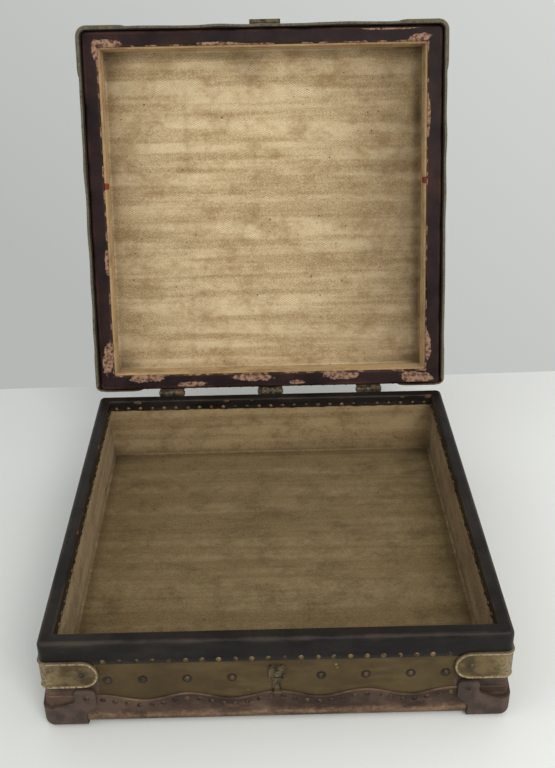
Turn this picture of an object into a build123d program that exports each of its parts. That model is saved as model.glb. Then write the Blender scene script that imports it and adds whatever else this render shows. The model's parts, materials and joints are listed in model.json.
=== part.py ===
from build123d import *
import os
from dataclasses import dataclass
from math import cos, pi, sqrt

# Leather-bound hat box: a square base tray and a hinged lid tray, each a wooden carcase under canvas.
# Millimetres, +Z up, front towards -Y. Each tray is drawn in tray coordinates, with its rim at z = 0 and
# its bottom below; the lid's tray is turned over, set on the base's rim and swung open about the hinges.

# Overall sizes
WIDTH = 432.0  # over the canvas, left to right
DEPTH = 436.0  # over the canvas, front to back
RIM_HEIGHT = 105.0  # ground to the base's rim
LID_HEIGHT = 47.0  # lid's rim to the canvas of its top
LID_OPEN = 108.3  # degrees from closed to the hinges' stop
RIM_GAP = 0.5  # between the two rims when the box is closed
CORNER_R = 5.0  # upright corners, over the canvas
FOOT = 5.5  # how far the base's corner caps stand below its leather

# Skins
CANVAS = 0.8
BAND = 1.8  # rim binding, outside and over the rim
TURN = 1.4  # rim binding, turned in over the lining
EDGE = 2.0  # scalloped edge binding, on the walls
UNDER = 1.6  # scalloped edge binding, folded under
UNDER_REACH = 26.0
PATCH = 1.0  # upright corner leathers
PATCH_REACH = 50.0

# Scallops of the edge binding
SCALLOP = 83.0  # nominal length of one wave
SWING = 4.0

# Corner clamps and caps
CLAMP = 1.4
BEAD = 0.9  # raised border of a clamp
BEAD_WIDTH = 3.0
CLAMP_REACH = 52.0
CAP = 3.0  # how far the caps stand off the edge binding
CAP_SEAT = 0.1
CAP_ROUND = 9.0
CAP_REACH = 36.0
EAR_REACH = 47.0
EAR_WIDTH = 20.0
NOTCH_SHARE, SHOULDER_SHARE = 0.37, 0.53  # of the ear's height: where the cap's outline turns
EAR_FOOT_SHARE, EAR_HEEL_SHARE, EAR_ROUND_SHARE = 0.6, 0.7, 0.09
EAR_NAIL_SHARE = 0.8  # of the ear's height: the nail through it

# Tacks and nails
TACK_D, TACK_H = 5.4, 1.5
TACK_MARGIN = 0.8  # from a row of tacks to the leather's edge
TACK_PITCH = 15.2
STUD_PITCH = 11.2  # tacks along the scallops
WASHER_D, WASHER_H = 9.0, 0.6
NAIL_D, NAIL_H = 6.0, 1.7

# Hinges
HINGE_PITCH = 126.0
HINGE_WIDTH = 31.0
LEAF, LEAF_HEIGHT = 1.6, 24.0
KNUCKLE_R = 4.0
KNUCKLES = 5
KNUCKLE_GAP = 0.4
KNUCKLE_STANDOFF = 0.7  # knuckles off the rim binding
PIN_R, PIN_FIT = 1.5, 0.05
PIN_HEAD_R, PIN_HEAD = 2.5, 1.0
SCREW_D, SCREW_H = 4.6, 1.2
SWEEP = 0.3  # clearance round a turning knuckle

# Closing valance on the lid's front and sides
VALANCE = 3.0
VALANCE_GAP = 0.6  # off the rim bindings
VALANCE_LIP = 8.0  # past the lid's rim
VALANCE_TOP = 15.0  # up the lid's walls
VALANCE_SPLIT = 0.4  # between the strips, under the corner clamps

# Catch on the base, hasp on the lid
CATCH_DROP = 33.0  # rim to the top of the catch plate
CATCH_WIDTH, CATCH_HEAD, CATCH = 15.0, 17.0, 1.2
CATCH_FRAME, CATCH_RAISE = 1.4, 0.8  # raised frame round the catch plate
TONGUE_WIDTH, TONGUE_CLEAR = 8.0, 0.5  # clearance above the middle scallop
LIP_OUT, LIP_THICK = 5.0, 2.0
STUD_DROP, STUD_NECK, STUD_HEAD, STUD_OUT = 40.0, 2.0, 3.5, 7.2
STUD_DOME = 1.6
HASP_X = 3.0  # the hasp sits a little right of centre
HASP_PLATE_WIDTH, HASP_PLATE = 37.0, 1.6
HASP_PIVOT_UP = 3.5  # above the rim of the closed lid
HASP_KNUCKLE_R = 3.2
HASP_EAR = 6.0  # width of each fixed knuckle
HASP_THICK = 1.8
HASP_WIDTH, HASP_TIP_WIDTH = 31.0, 24.0
HASP_CRANK = 12.5  # pivot to the bend that clears the valance
HASP_PAST_STUD = 11.0
HASP_CLEAR = 0.4  # off the tacks of the rim binding
THUMB = 4.0  # length of the curled tip
SLOT_WIDTH, SLOT_HEIGHT = 10.0, 13.0

# Handle on the lid's top
HANDLE_HALF = 72.0  # centre to each pivot
PIVOT_UP = 10.6  # above the canvas
HANDLE_ARM = 30.0
GRIP_THICK, GRIP_WIDTH = 12.0, 16.0
EYE_R, EYE_WIDTH = 6.0, 11.4
ARM_THICK = 5.0
CHEEK, CHEEK_DEPTH = 3.0, 13.0
BRACKET_BASE, BRACKET_DEPTH = 1.6, 30.0
HANDLE_PIN_R = 2.0
CHEEK_GAP = 0.3

# Torn stay tapes in the lid
TAPE, TAPE_WIDTH, TAPE_END = 0.8, 8.0, 18.0
TAPE_Y = -37.0

TALL = 1000.0  # longer than any piece


@dataclass
class Tray:
    """Sizes of one tray: depth from rim to canvas, board thicknesses, and how far the leathers reach."""

    depth: float
    wall: float
    board: float
    lining: float
    pad: float
    band_drop: float
    turn_drop: float
    turn: float
    edge_height: float
    swing: float
    tack_below: float
    clamp_top: float
    clamp_height: float
    clamp_x: float
    clamp_back: float
    clamp_lower: float
    ear_top: float
    foot: float

    @property
    def core(self):
        """Canvas, wall and lining together."""
        return CANVAS + self.wall + self.lining

    @property
    def inside(self):
        """From the canvas to the inner face of the rim binding."""
        return self.core + self.turn

    @property
    def floor(self):
        """Inner face of the bottom board."""
        return -self.depth + CANVAS + self.board

    @property
    def ground(self):
        """Lowest plane of the corner caps."""
        return -self.depth - UNDER - self.foot

    @property
    def crest(self):
        """Highest line of the edge binding, also its height at the corners."""
        return -self.depth + self.edge_height + self.swing


BASE = Tray(
    depth=RIM_HEIGHT - UNDER - FOOT, wall=9.0, board=12.0, lining=1.2, pad=4.0,
    band_drop=26.5, turn_drop=14.6, turn=TURN, edge_height=28.6, swing=SWING, tack_below=6.5,
    clamp_top=-22.0, clamp_height=32.0, clamp_x=BAND, clamp_back=BAND, clamp_lower=0.0,
    ear_top=49.0, foot=FOOT,
)
LID = Tray(
    depth=LID_HEIGHT, wall=11.5, board=7.0, lining=1.5, pad=1.5,
    band_drop=14.0, turn_drop=8.0, turn=TURN, edge_height=14.0, swing=2.0, tack_below=5.0,
    clamp_top=5.0, clamp_height=26.0, clamp_x=BAND + VALANCE_GAP + VALANCE, clamp_back=BAND, clamp_lower=6.0,
    ear_top=22.0, foot=1.5,
)

HALF_X, HALF_Y = WIDTH / 2, DEPTH / 2
HINGE_Y = HALF_Y + BAND + KNUCKLE_STANDOFF + KNUCKLE_R
HINGE_Z = RIM_HEIGHT + RIM_GAP / 2
WAVE_X, WAVE_Y = HALF_X - PATCH_REACH, HALF_Y - PATCH_REACH
SIDES = ("front", "back", "left", "right")


def block(x0, x1, y0, y1, z0, z1):
    """Box between two corners."""
    return Pos((x0 + x1) / 2, (y0 + y1) / 2, (z0 + z1) / 2) * Box(x1 - x0, y1 - y0, z1 - z0)


def prism(out_x, out_y, low, high):
    """Upright prism, offset from the canvas, whose corner radius follows the offset."""
    radius = max(CORNER_R + min(out_x, out_y), 0.5)
    outline = RectangleRounded(WIDTH + 2 * out_x, DEPTH + 2 * out_y, radius)
    return extrude(Pos(0, 0, low) * outline, high - low)


def ring(outer, inner, low, high):
    """Ring between two offsets from the canvas."""
    return prism(outer, outer, low, high) - prism(inner, inner, low, high)


def face_plane(side, height=0.0, out=0.0, along=0.0, inward=False):
    """Plane on one wall, at an offset from the canvas, with y up and z away from the wall."""
    turn = {"front": 0, "right": 90, "back": 180, "left": 270}[side]
    half = HALF_Y if side in ("front", "back") else HALF_X
    spot = Rot(0, 0, turn) * Pos(along, -half - out, height)
    return spot * (Rot(-90, 0, 0) * Rot(0, 0, 180) if inward else Rot(90, 0, 0))


def half_run(side):
    """Half the length of a wall over its canvas."""
    return HALF_X if side in ("front", "back") else HALF_Y


def spread(half, pitch):
    """Evenly spaced places between -half and half, near a pitch."""
    count = max(1, round(2 * half / pitch))
    return [-half + 2 * half * k / count for k in range(count + 1)]


def scallop_pitch(half, nominal):
    """Length of one wave, with a crest at the middle and at both ends."""
    return half / max(1, round(half / nominal))


def wave(along, half, tray):
    """Height of the edge binding's upper edge."""
    if abs(along) >= half:
        return tray.crest
    return -tray.depth + tray.edge_height + tray.swing * cos(2 * pi * along / scallop_pitch(half, SCALLOP))


def corners(shape):
    """A front left corner piece and its three mirror images, by name."""
    right = mirror(shape, about=Plane.YZ)
    return {
        "front_left": shape,
        "front_right": right,
        "back_left": mirror(shape, about=Plane.XZ),
        "back_right": mirror(right, about=Plane.XZ),
    }


def group(shapes):
    """Separate solids kept in one node."""
    return Compound(children=[solid for shape in shapes for solid in shape.solids()])


def dome(diameter, height):
    """Low round head, seated on its plane and centred on z."""
    radius = (diameter**2 / 4 + height**2) / (2 * height)
    return Pos(0, 0, height - radius) * Sphere(radius) & Pos(0, 0, height) * Box(
        2 * diameter, 2 * diameter, 2 * height
    )


# Carcase


def boards(tray, far_board):
    """Bottom or top board between four walls; the side walls run the full depth."""
    top = -BAND
    low = -tray.depth + CANVAS
    x_out, y_out = HALF_X - CANVAS, HALF_Y - CANVAS
    x_in, y_in = x_out - tray.wall, y_out - tray.wall
    round_off = prism(-CANVAS, -CANVAS, low, top)
    return {
        "left_board": block(-x_out, -x_in, -y_out, y_out, low, top) & round_off,
        "right_board": block(x_in, x_out, -y_out, y_out, low, top) & round_off,
        "front_board": block(-x_in, x_in, -y_out, -y_in, low, top),
        "back_board": block(-x_in, x_in, y_in, y_out, low, top),
        far_board: block(-x_in, x_in, -y_in, y_in, low, low + tray.board),
    }


def canvas_cover(tray):
    """Canvas over the walls and the bottom."""
    return prism(0, 0, -tray.depth, -BAND) - prism(-CANVAS, -CANVAS, -tray.depth + CANVAS, -BAND)


def wall_lining(tray):
    return ring(-CANVAS - tray.wall, -tray.core, tray.floor, -BAND)


def pad_lining(tray):
    """Padded lining over the bottom board, with a soft upper edge."""
    pad = prism(-tray.core, -tray.core, tray.floor, tray.floor + tray.pad)
    return fillet(pad.faces().sort_by(Axis.Z)[-1].edges(), tray.pad * 0.4)


# Leather


def rim_binding(tray):
    """Leather folded over the rim: outer band, top and turned-in flange."""
    strip = (
        ring(BAND, 0, -tray.band_drop, 0)
        + ring(0, -tray.inside, -BAND, 0)
        + ring(-tray.core, -tray.inside, -tray.turn_drop, 0)
    )
    strip = fillet(strip.faces().sort_by(Axis.Z)[-1].outer_wire().edges(), BAND * 1.4)
    return fillet(strip.faces().sort_by(Axis.Z)[-1].inner_wires()[0].edges(), TURN * 0.8)


def wave_cutter(half, tray):
    """Everything above the wavy edge, between the corner leathers of the front and back walls."""
    quarter = scallop_pitch(half, SCALLOP) / 4
    count = round(2 * half / quarter)
    edge = [(-half + k * quarter, wave(-half + k * quarter, half, tray)) for k in range(count + 1)]
    edge[0], edge[-1] = (-half, tray.crest), (half, tray.crest)
    high = tray.crest + 1
    outline = make_face(
        [Spline(*edge, tangents=[(1, 0), (1, 0)]), Polyline(edge[-1], (half, high), (-half, high), edge[0])]
    )
    return extrude(Plane.XZ * outline, TALL, both=True)


def edge_binding(tray):
    """Scalloped leather round the bottom edge, folded under it."""
    low = -tray.depth - UNDER
    strip = prism(EDGE, EDGE, low, tray.crest) - prism(0, 0, -tray.depth, tray.crest)
    strip -= block(-HALF_X + UNDER_REACH, HALF_X - UNDER_REACH, -HALF_Y + UNDER_REACH,
                   HALF_Y - UNDER_REACH, low, -tray.depth)
    strip = fillet(strip.faces().sort_by(Axis.Z)[0].outer_wire().edges(), UNDER + EDGE)
    return strip - wave_cutter(WAVE_X, tray) - Rot(0, 0, 90) * wave_cutter(WAVE_Y, tray)


def flat(x0, x1, y0, y1):
    """Rectangle between two corners, as an outline."""
    return Pos((x0 + x1) / 2, (y0 + y1) / 2) * Rectangle(x1 - x0, y1 - y0)


def corner_wrap(body, outline):
    """The parts of a body behind an outline at the front left corner, one on each wall.

    The outline has x inwards from the canvas corner and y up.
    """
    reach = CORNER_R + 2
    front = Plane(origin=(-HALF_X, -HALF_Y + reach, 0), x_dir=(1, 0, 0), z_dir=(0, -1, 0))
    side = Plane(origin=(-HALF_X + reach, -HALF_Y, 0), x_dir=(0, 1, 0), z_dir=(1, 0, 0))
    return body & extrude(front * outline, TALL), body & extrude(side * outline, -TALL)


def corner_leather(tray):
    """Upright leather round a corner, from the rim binding to the edge binding."""
    on_front, on_side = corner_wrap(
        ring(PATCH, 0, tray.crest, -tray.band_drop),
        flat(-CORNER_R, PATCH_REACH, tray.crest, -tray.band_drop),
    )
    return on_front + on_side


# Corner hardware


def clamp_outline(tray, high, inset):
    """Strip with a round end."""
    middle = high - tray.clamp_height / 2
    radius = tray.clamp_height / 2 - inset
    end = CLAMP_REACH - tray.clamp_height / 2
    return flat(-CLAMP_REACH, end, middle - radius, middle + radius) + Pos(end, middle) * Circle(radius)


def clamp(tray, out_x, out_y, high):
    """Brass strip round a corner, with a raised border."""
    low = high - tray.clamp_height

    def layer(inner, outer):
        return prism(out_x + outer, out_y + outer, low, high) - prism(out_x + inner, out_y + inner, low, high)

    whole = clamp_outline(tray, high, 0)
    plate = corner_wrap(layer(0, CLAMP), whole)
    border = corner_wrap(layer(CLAMP, CLAMP + BEAD), whole - clamp_outline(tray, high, BEAD_WIDTH))
    return plate[0] + plate[1] + border[0] + border[1]


def cap_outline(tray):
    """A cap's outline on a wall: foot, notch and a raised ear."""
    ear_left = EAR_REACH - EAR_WIDTH
    heights = [
        share * tray.ear_top for share in (NOTCH_SHARE, EAR_FOOT_SHARE, EAR_HEEL_SHARE, SHOULDER_SHARE)
    ]
    notch, ear_foot, ear_heel, shoulder = heights
    points = [
        (-CAP_REACH, 0), (CAP_REACH, 0), (CAP_REACH, notch), (EAR_REACH, ear_foot),
        (EAR_REACH, tray.ear_top), (ear_left, tray.ear_top), (ear_left, ear_heel),
        (CORNER_R, shoulder), (-CAP_REACH, shoulder),
    ]
    outline = make_face(Polyline(*points, close=True))
    turns = [vertex for vertex in outline.vertices() if vertex.X > 0 and vertex.Y > 1]
    return Pos(0, tray.ground) * fillet(turns, EAR_ROUND_SHARE * tray.ear_top)


def cap(tray):
    """Pressed corner cap, rounded at the outside, seated on the edge binding."""
    high = tray.ground + tray.ear_top
    seat = EDGE + CAP_SEAT
    outside = prism(EDGE + CAP, EDGE + CAP, tray.ground, high)
    rounding = min(CAP_ROUND, CORNER_R + EDGE + CAP - 1)
    outside = fillet(outside.faces().sort_by(Axis.Z)[0].outer_wire().edges(), rounding)
    hollow = prism(seat, seat, -tray.depth - UNDER - CAP_SEAT, high)
    hollow = fillet(hollow.faces().sort_by(Axis.Z)[0].outer_wire().edges(), UNDER + EDGE)
    body = outside - hollow
    on_front, on_side = corner_wrap(body, cap_outline(tray))
    below = block(-HALF_X - CAP_REACH, -HALF_X + CAP_REACH, -HALF_Y - CAP_REACH, -HALF_Y + CAP_REACH,
                  tray.ground, -tray.depth - UNDER)
    return on_front + on_side + (body & below)


# Tacks and nails


def row(places, head, side, height, out, inward=False):
    """Heads along one wall."""
    return [face_plane(side, height, out, along, inward) * head for along in places]


def clear_of_hardware(tray, side, places):
    """Leaves out the places at the hinges, and at the hasp on the lid's front."""
    taken = []
    if side == "back":
        taken = [(k * HINGE_PITCH, HINGE_WIDTH) for k in (-1, 0, 1)]
    elif side == "front" and tray is LID:
        taken = [(HASP_X, HASP_PLATE_WIDTH)]
    return [u for u in places if all(abs(u - x) > width / 2 + TACK_D for x, width in taken)]


def clamp_seat(tray, side):
    """What the clamps and the rim tacks lie on, from the canvas: the rim binding, or the lid's valance."""
    return tray.clamp_back if side == "back" else tray.clamp_x


def rim_tacks(tray):
    """Tacks along the lower edge of the rim binding's outer band, through the lid's valance."""
    head = dome(TACK_D, TACK_H)
    heads = []
    for side in SIDES:
        half = half_run(side) - CLAMP_REACH - TACK_D
        height = -tray.band_drop + TACK_D / 2 + TACK_MARGIN
        places = clear_of_hardware(tray, side, spread(half, TACK_PITCH))
        heads += row(places, head, side, height, clamp_seat(tray, side))
    return group(heads)


def turned_tacks(tray):
    """Tacks along the turned-in flange of the rim binding."""
    head = dome(TACK_D, TACK_H)
    heads = []
    for side in SIDES:
        half = half_run(side) - tray.inside - TACK_PITCH / 2
        height = -tray.turn_drop + TACK_D / 2 + TACK_MARGIN
        heads += row(spread(half, TACK_PITCH), head, side, height, -tray.inside, inward=True)
    return group(heads)


def edge_tacks(tray, pitch):
    """Tacks that follow the scallops."""
    head = dome(TACK_D, TACK_H)
    heads = []
    for side in SIDES:
        half = half_run(side) - PATCH_REACH
        for along in spread(half - TACK_D / 2, pitch):
            heads += row([along], head, side, wave(along, half, tray) - tray.tack_below, EDGE)
    return group(heads)


def at_back(side, along):
    """Whether a place on a wall is on the back half of the box."""
    return side == "back" or (side == "right" and along > 0) or (side == "left" and along < 0)


def corner_nails(tray, hardware_height, nail):
    """Nails through the round ends of the clamps and the ears of the caps."""
    heads = []
    for side in SIDES:
        clamp_out = clamp_seat(tray, side) + CLAMP
        clamp_at = half_run(side) - CLAMP_REACH + tray.clamp_height / 2
        ear_at = half_run(side) - EAR_REACH + EAR_WIDTH * 0.45
        ear_height = tray.ground + tray.ear_top * hardware_height
        for along in (-clamp_at, clamp_at):
            lower = tray.clamp_lower if at_back(side, along) else 0.0
            heads += row([along], nail, side, tray.clamp_top - tray.clamp_height / 2 - lower, clamp_out)
        heads += row([-ear_at, ear_at], nail, side, ear_height, EDGE + CAP)
    return group(heads)


def canvas_nail_places(side):
    """Over each crest and dip of the scallops, and one beside each corner leather."""
    half = half_run(side) - PATCH_REACH
    step = scallop_pitch(half, SCALLOP) / 2
    inner = [k * step for k in range(1, round(half / step))]
    places = inner + [half - WASHER_D]
    return [-u for u in reversed(places)] + places


def canvas_nails(tray):
    """Washers on the canvas, and the nails through them."""
    height = (-tray.band_drop + tray.crest - tray.swing) / 2
    washer = extrude(Circle(WASHER_D / 2), WASHER_H)
    nail = dome(NAIL_D, NAIL_H)
    washers, nails = [], []
    for side in SIDES:
        places = canvas_nail_places(side)
        washers += row(places, washer, side, height, 0)
        nails += row(places, nail, side, height, WASHER_H)
    return group(washers), group(nails)


# Hinges, drawn closed and in place


def knuckle_x(k):
    """Middle of a knuckle along its hinge, and its length."""
    length = (HINGE_WIDTH - (KNUCKLES - 1) * KNUCKLE_GAP) / KNUCKLES
    return -HINGE_WIDTH / 2 + length / 2 + k * (length + KNUCKLE_GAP), length


def rod(x, y, z, radius, length):
    """Cylinder along x."""
    return Pos(x, y, z) * Rot(0, 90, 0) * Cylinder(radius, length)


def hinge_leaf(x, up):
    """One leaf with its knuckles: up is 1 for the lid's leaf and -1 for the base's."""
    face = HALF_Y + BAND

    def on_leaf(x0, x1, y0, y1, near, far):
        ends = sorted((HINGE_Z + up * near, HINGE_Z + up * far))
        return block(x0, x1, y0, y1, *ends)

    leaf = on_leaf(x - HINGE_WIDTH / 2, x + HINGE_WIDTH / 2, face, face + LEAF, RIM_GAP / 2, LEAF_HEIGHT)
    for k in range(KNUCKLES):
        offset, length = knuckle_x(k)
        middle = x + offset
        if (k % 2 == 1) == (up == 1):
            web = on_leaf(middle - length / 2, middle + length / 2, face, HINGE_Y, RIM_GAP / 2, KNUCKLE_R * 0.8)
            leaf = leaf + web + rod(middle, HINGE_Y, HINGE_Z, KNUCKLE_R, length)
        else:
            leaf -= rod(middle, HINGE_Y, HINGE_Z, KNUCKLE_R + SWEEP, length + 2 * KNUCKLE_GAP)
    return leaf - rod(x, HINGE_Y, HINGE_Z, PIN_R + PIN_FIT, HINGE_WIDTH + 2)


def hinge_pin(x):
    """Pin with a flat head at each end."""
    pin = rod(x, HINGE_Y, HINGE_Z, PIN_R, HINGE_WIDTH)
    for end in (-1, 1):
        pin += rod(x + end * (HINGE_WIDTH + PIN_HEAD) / 2, HINGE_Y, HINGE_Z, PIN_HEAD_R, PIN_HEAD)
    return pin


def hinge_screws(up):
    """Three screws in each leaf."""
    head = dome(SCREW_D, SCREW_H)
    spots = [(-HINGE_WIDTH * 0.3, 0.55), (HINGE_WIDTH * 0.3, 0.55), (0, 0.8)]
    heads = []
    for k in (-1, 0, 1):
        for offset, share in spots:
            height = HINGE_Z + up * share * LEAF_HEIGHT
            heads.append(face_plane("back", height, BAND + LEAF, k * HINGE_PITCH + offset) * head)
    return group(heads)


# Closing valance, in tray coordinates


def valance(tray):
    """Three stiff strips outside the lid's rim, split at the front corners."""
    inner = BAND + VALANCE_GAP
    strip = ring(inner + VALANCE, inner, -VALANCE_TOP, VALANCE_LIP)
    strip -= block(-TALL, TALL, HALF_Y - CORNER_R, TALL, -TALL, TALL)
    saw = block(-TALL, TALL, -VALANCE_SPLIT / 2, VALANCE_SPLIT / 2, -TALL, TALL)
    for side in (-1, 1):
        strip -= Pos(side * (HALF_X - CORNER_R), -HALF_Y + CORNER_R, 0) * Rot(0, 0, -side * 45) * saw
    return strip


# Catch and hasp, drawn closed and in place


def catch_plate():
    """Plate with a raised frame round the stud, and a tongue that ends in a hook lip."""
    middle = -CATCH_DROP - CATCH_HEAD / 2
    head = Pos(0, middle) * RectangleRounded(CATCH_WIDTH, CATCH_HEAD, 2)
    window = Pos(0, middle) * RectangleRounded(CATCH_WIDTH - 2 * CATCH_FRAME, CATCH_HEAD - 2 * CATCH_FRAME, 1)
    end = BASE.crest + TONGUE_CLEAR
    tongue = flat(-TONGUE_WIDTH / 2, TONGUE_WIDTH / 2, end, middle)
    lip = flat(-TONGUE_WIDTH / 2, TONGUE_WIDTH / 2, end, end + LIP_THICK)
    plate = extrude(head + tongue, CATCH) + Pos(0, 0, CATCH) * extrude(head - window, CATCH_RAISE)
    rib = flat(-TONGUE_WIDTH / 4, TONGUE_WIDTH / 4, end, -CATCH_DROP - CATCH_HEAD + CATCH_FRAME)
    plate += extrude(lip, LIP_OUT) + extrude(rib, CATCH + 1)
    return face_plane("front", RIM_HEIGHT) * plate


def catch_stud():
    """Domed stud that the hasp drops over."""
    neck = extrude(Circle(STUD_NECK), STUD_OUT - CATCH - 1)
    stud = Pos(0, 0, CATCH) * neck + Pos(0, 0, STUD_OUT - STUD_DOME) * dome(2 * STUD_HEAD, STUD_DOME)
    return face_plane("front", RIM_HEIGHT - STUD_DROP) * stud


HASP_OUT = BAND + VALANCE_GAP + VALANCE + HASP_KNUCKLE_R + 0.2
HASP_Y = -HALF_Y - HASP_OUT
HASP_Z = RIM_HEIGHT + RIM_GAP + HASP_PIVOT_UP
HASP_BODY = HASP_PLATE_WIDTH - 2 * HASP_EAR - 2 * KNUCKLE_GAP


def hasp_plate():
    """Plate on the front valance strip, with a knuckle at each end."""
    face = -HALF_Y - BAND - VALANCE_GAP - VALANCE
    half = HASP_PLATE_WIDTH / 2
    high = RIM_HEIGHT + RIM_GAP + VALANCE_TOP
    plate = block(HASP_X - half, HASP_X + half, face - HASP_PLATE, face, RIM_HEIGHT + RIM_GAP, high)
    plate -= rod(HASP_X, HASP_Y, HASP_Z, HASP_KNUCKLE_R + SWEEP, HASP_BODY + 2 * KNUCKLE_GAP)
    for end in (-1, 1):
        middle = HASP_X + end * (half - HASP_EAR / 2)
        plate += rod(middle, HASP_Y, HASP_Z, HASP_KNUCKLE_R, HASP_EAR)
        plate += block(middle - HASP_EAR / 2, middle + HASP_EAR / 2, HASP_Y, face,
                       HASP_Z, HASP_Z + HASP_KNUCKLE_R * 0.8)
    return plate - rod(HASP_X, HASP_Y, HASP_Z, PIN_R + PIN_FIT, HASP_PLATE_WIDTH + 2)


def hasp():
    """Strap hanging over the catch, cranked inwards below the valance, with a slot for the stud."""
    stud = HASP_Z - RIM_HEIGHT + STUD_DROP
    end = stud + HASP_PAST_STUD
    half = HASP_THICK / 2
    mitre = half * (sqrt(2) - 1)
    step = HASP_OUT - (BAND + TACK_H + HASP_CLEAR + half)
    bend = HASP_CRANK + step
    profile = Polyline(
        (half, 0), (half, -HASP_CRANK - mitre), (half - step, -bend - mitre), (half - step, -end + THUMB),
        (half - step + THUMB, -end), (-half - step + THUMB - mitre, -end - mitre),
        (-half - step, -end + THUMB - mitre), (-half - step, -bend + mitre), (-half, -HASP_CRANK + mitre),
        (-half, 0), close=True,
    )
    strap = extrude(Plane.YZ * scale(make_face(profile), (-1, 1, 1)), HASP_WIDTH, both=True)
    shoulder = HASP_KNUCKLE_R + 2 * KNUCKLE_GAP
    outline = make_face(Polyline(
        (HASP_BODY / 2, 1), (HASP_BODY / 2, -shoulder), (HASP_WIDTH / 2, -shoulder), (HASP_WIDTH / 2, -bend),
        (HASP_TIP_WIDTH / 2, -stud), (HASP_TIP_WIDTH / 2, -end - THUMB), (-HASP_TIP_WIDTH / 2, -end - THUMB),
        (-HASP_TIP_WIDTH / 2, -stud), (-HASP_WIDTH / 2, -bend), (-HASP_WIDTH / 2, -shoulder),
        (-HASP_BODY / 2, -shoulder), (-HASP_BODY / 2, 1), close=True,
    ))
    outline -= Pos(-HASP_X, -stud) * RectangleRounded(SLOT_WIDTH, SLOT_HEIGHT, SLOT_WIDTH * 0.3)
    strap &= extrude(Plane.XZ * outline, TALL, both=True)
    strap += rod(0, 0, 0, HASP_KNUCKLE_R, HASP_BODY)
    return Pos(HASP_X, HASP_Y, HASP_Z) * (strap - rod(0, 0, 0, PIN_R + PIN_FIT, HASP_WIDTH))


def hasp_pin():
    return rod(HASP_X, HASP_Y, HASP_Z, PIN_R, HASP_PLATE_WIDTH)


# Handle, brackets drawn closed and in place, handle drawn hanging from its pivots

LID_TOP = RIM_HEIGHT + RIM_GAP + LID_HEIGHT
PIVOT_Z = LID_TOP + PIVOT_UP
FORK = EYE_WIDTH / 2 + CHEEK_GAP  # inner face of each cheek from the middle of its bracket


def handle_bracket(x):
    """Base with two cheeks that hold a pin along x."""
    reach = FORK + 2 * CHEEK
    bracket = block(x - reach, x + reach, -BRACKET_DEPTH / 2, BRACKET_DEPTH / 2, LID_TOP, LID_TOP + BRACKET_BASE)
    for end in (-1, 1):
        middle = x + end * (FORK + CHEEK / 2)
        bracket += block(middle - CHEEK / 2, middle + CHEEK / 2, -CHEEK_DEPTH / 2, CHEEK_DEPTH / 2, LID_TOP, PIVOT_Z)
        bracket += rod(middle, 0, PIVOT_Z, CHEEK_DEPTH / 2, CHEEK)
    return bracket - rod(x, 0, PIVOT_Z, HANDLE_PIN_R + PIN_FIT, 3 * reach)


def handle_pin(x):
    return rod(x, 0, PIVOT_Z, HANDLE_PIN_R, 2 * (FORK + CHEEK))


def handle():
    """Leather grip between two arms, its pivots on the x axis."""
    long = HANDLE_HALF + EYE_WIDTH / 2
    grip = Box(2 * long, GRIP_THICK, GRIP_WIDTH)
    grip = Pos(0, 0, -HANDLE_ARM) * fillet(grip.edges().filter_by(Axis.X), GRIP_THICK * 0.4)
    for x in (-HANDLE_HALF, HANDLE_HALF):
        grip += block(x - EYE_WIDTH / 2, x + EYE_WIDTH / 2, -ARM_THICK / 2, ARM_THICK / 2, -HANDLE_ARM, 0)
        grip += rod(x, 0, 0, EYE_R, EYE_WIDTH)
    return grip - rod(0, 0, 0, HANDLE_PIN_R + PIN_FIT, 3 * long)


def stay_tapes(tray):
    """Torn ends of two tapes, glued on the turned-in flange of the side walls."""
    face = HALF_X - tray.inside
    tape = block(-face, -face + TAPE, TAPE_Y - TAPE_WIDTH / 2, TAPE_Y + TAPE_WIDTH / 2, -TAPE_END, -BAND)
    return group([tape, mirror(tape, about=Plane.YZ)])


# Placing


def swing(shape, y, z, degrees):
    """Turns a shape or a place about an axis along x."""
    return Pos(0, y, z) * Rot(degrees, 0, 0) * Pos(0, -y, -z) * shape


def on_base(shape):
    return Pos(0, 0, RIM_HEIGHT) * shape


def opened(shape):
    """From the closed lid to the open one."""
    return swing(shape, HINGE_Y, HINGE_Z, -LID_OPEN)


def on_lid(shape):
    """From tray coordinates to the open lid."""
    return opened(Pos(0, 0, RIM_HEIGHT + RIM_GAP) * mirror(shape, about=Plane.XY))


def tray_pieces(tray, prefix, far_board, place, pitch):
    """What both trays have alike: carcase, linings, leathers, tacks and corner nails."""
    pieces = {
        **boards(tray, far_board),
        "canvas_cover": canvas_cover(tray),
        "wall_lining": wall_lining(tray),
        "rim_binding": rim_binding(tray),
        "edge_binding": edge_binding(tray),
        "corner_leathers": group(corners(corner_leather(tray)).values()),
        "rim_tacks": rim_tacks(tray),
        "edge_tacks": edge_tacks(tray, pitch),
        "corner_nails": corner_nails(tray, EAR_NAIL_SHARE, dome(NAIL_D, NAIL_H)),
    }
    return {prefix + name: place(shape) for name, shape in pieces.items()}


def base_pieces():
    pieces = tray_pieces(BASE, "base_", "bottom_board", on_base, STUD_PITCH)
    pieces["base_floor_lining"] = on_base(pad_lining(BASE))
    pieces["base_turned_tacks"] = on_base(turned_tacks(BASE))
    washers, nails = canvas_nails(BASE)
    pieces["base_nail_washers"], pieces["base_canvas_nails"] = on_base(washers), on_base(nails)
    for place, shape in corners(clamp(BASE, BASE.clamp_x, BASE.clamp_back, BASE.clamp_top)).items():
        pieces["base_clamp_" + place] = on_base(shape)
    for place, shape in corners(cap(BASE)).items():
        pieces["base_cap_" + place] = on_base(shape)
    pieces["catch_plate"] = catch_plate()
    pieces["catch_stud"] = catch_stud()
    return pieces


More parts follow.
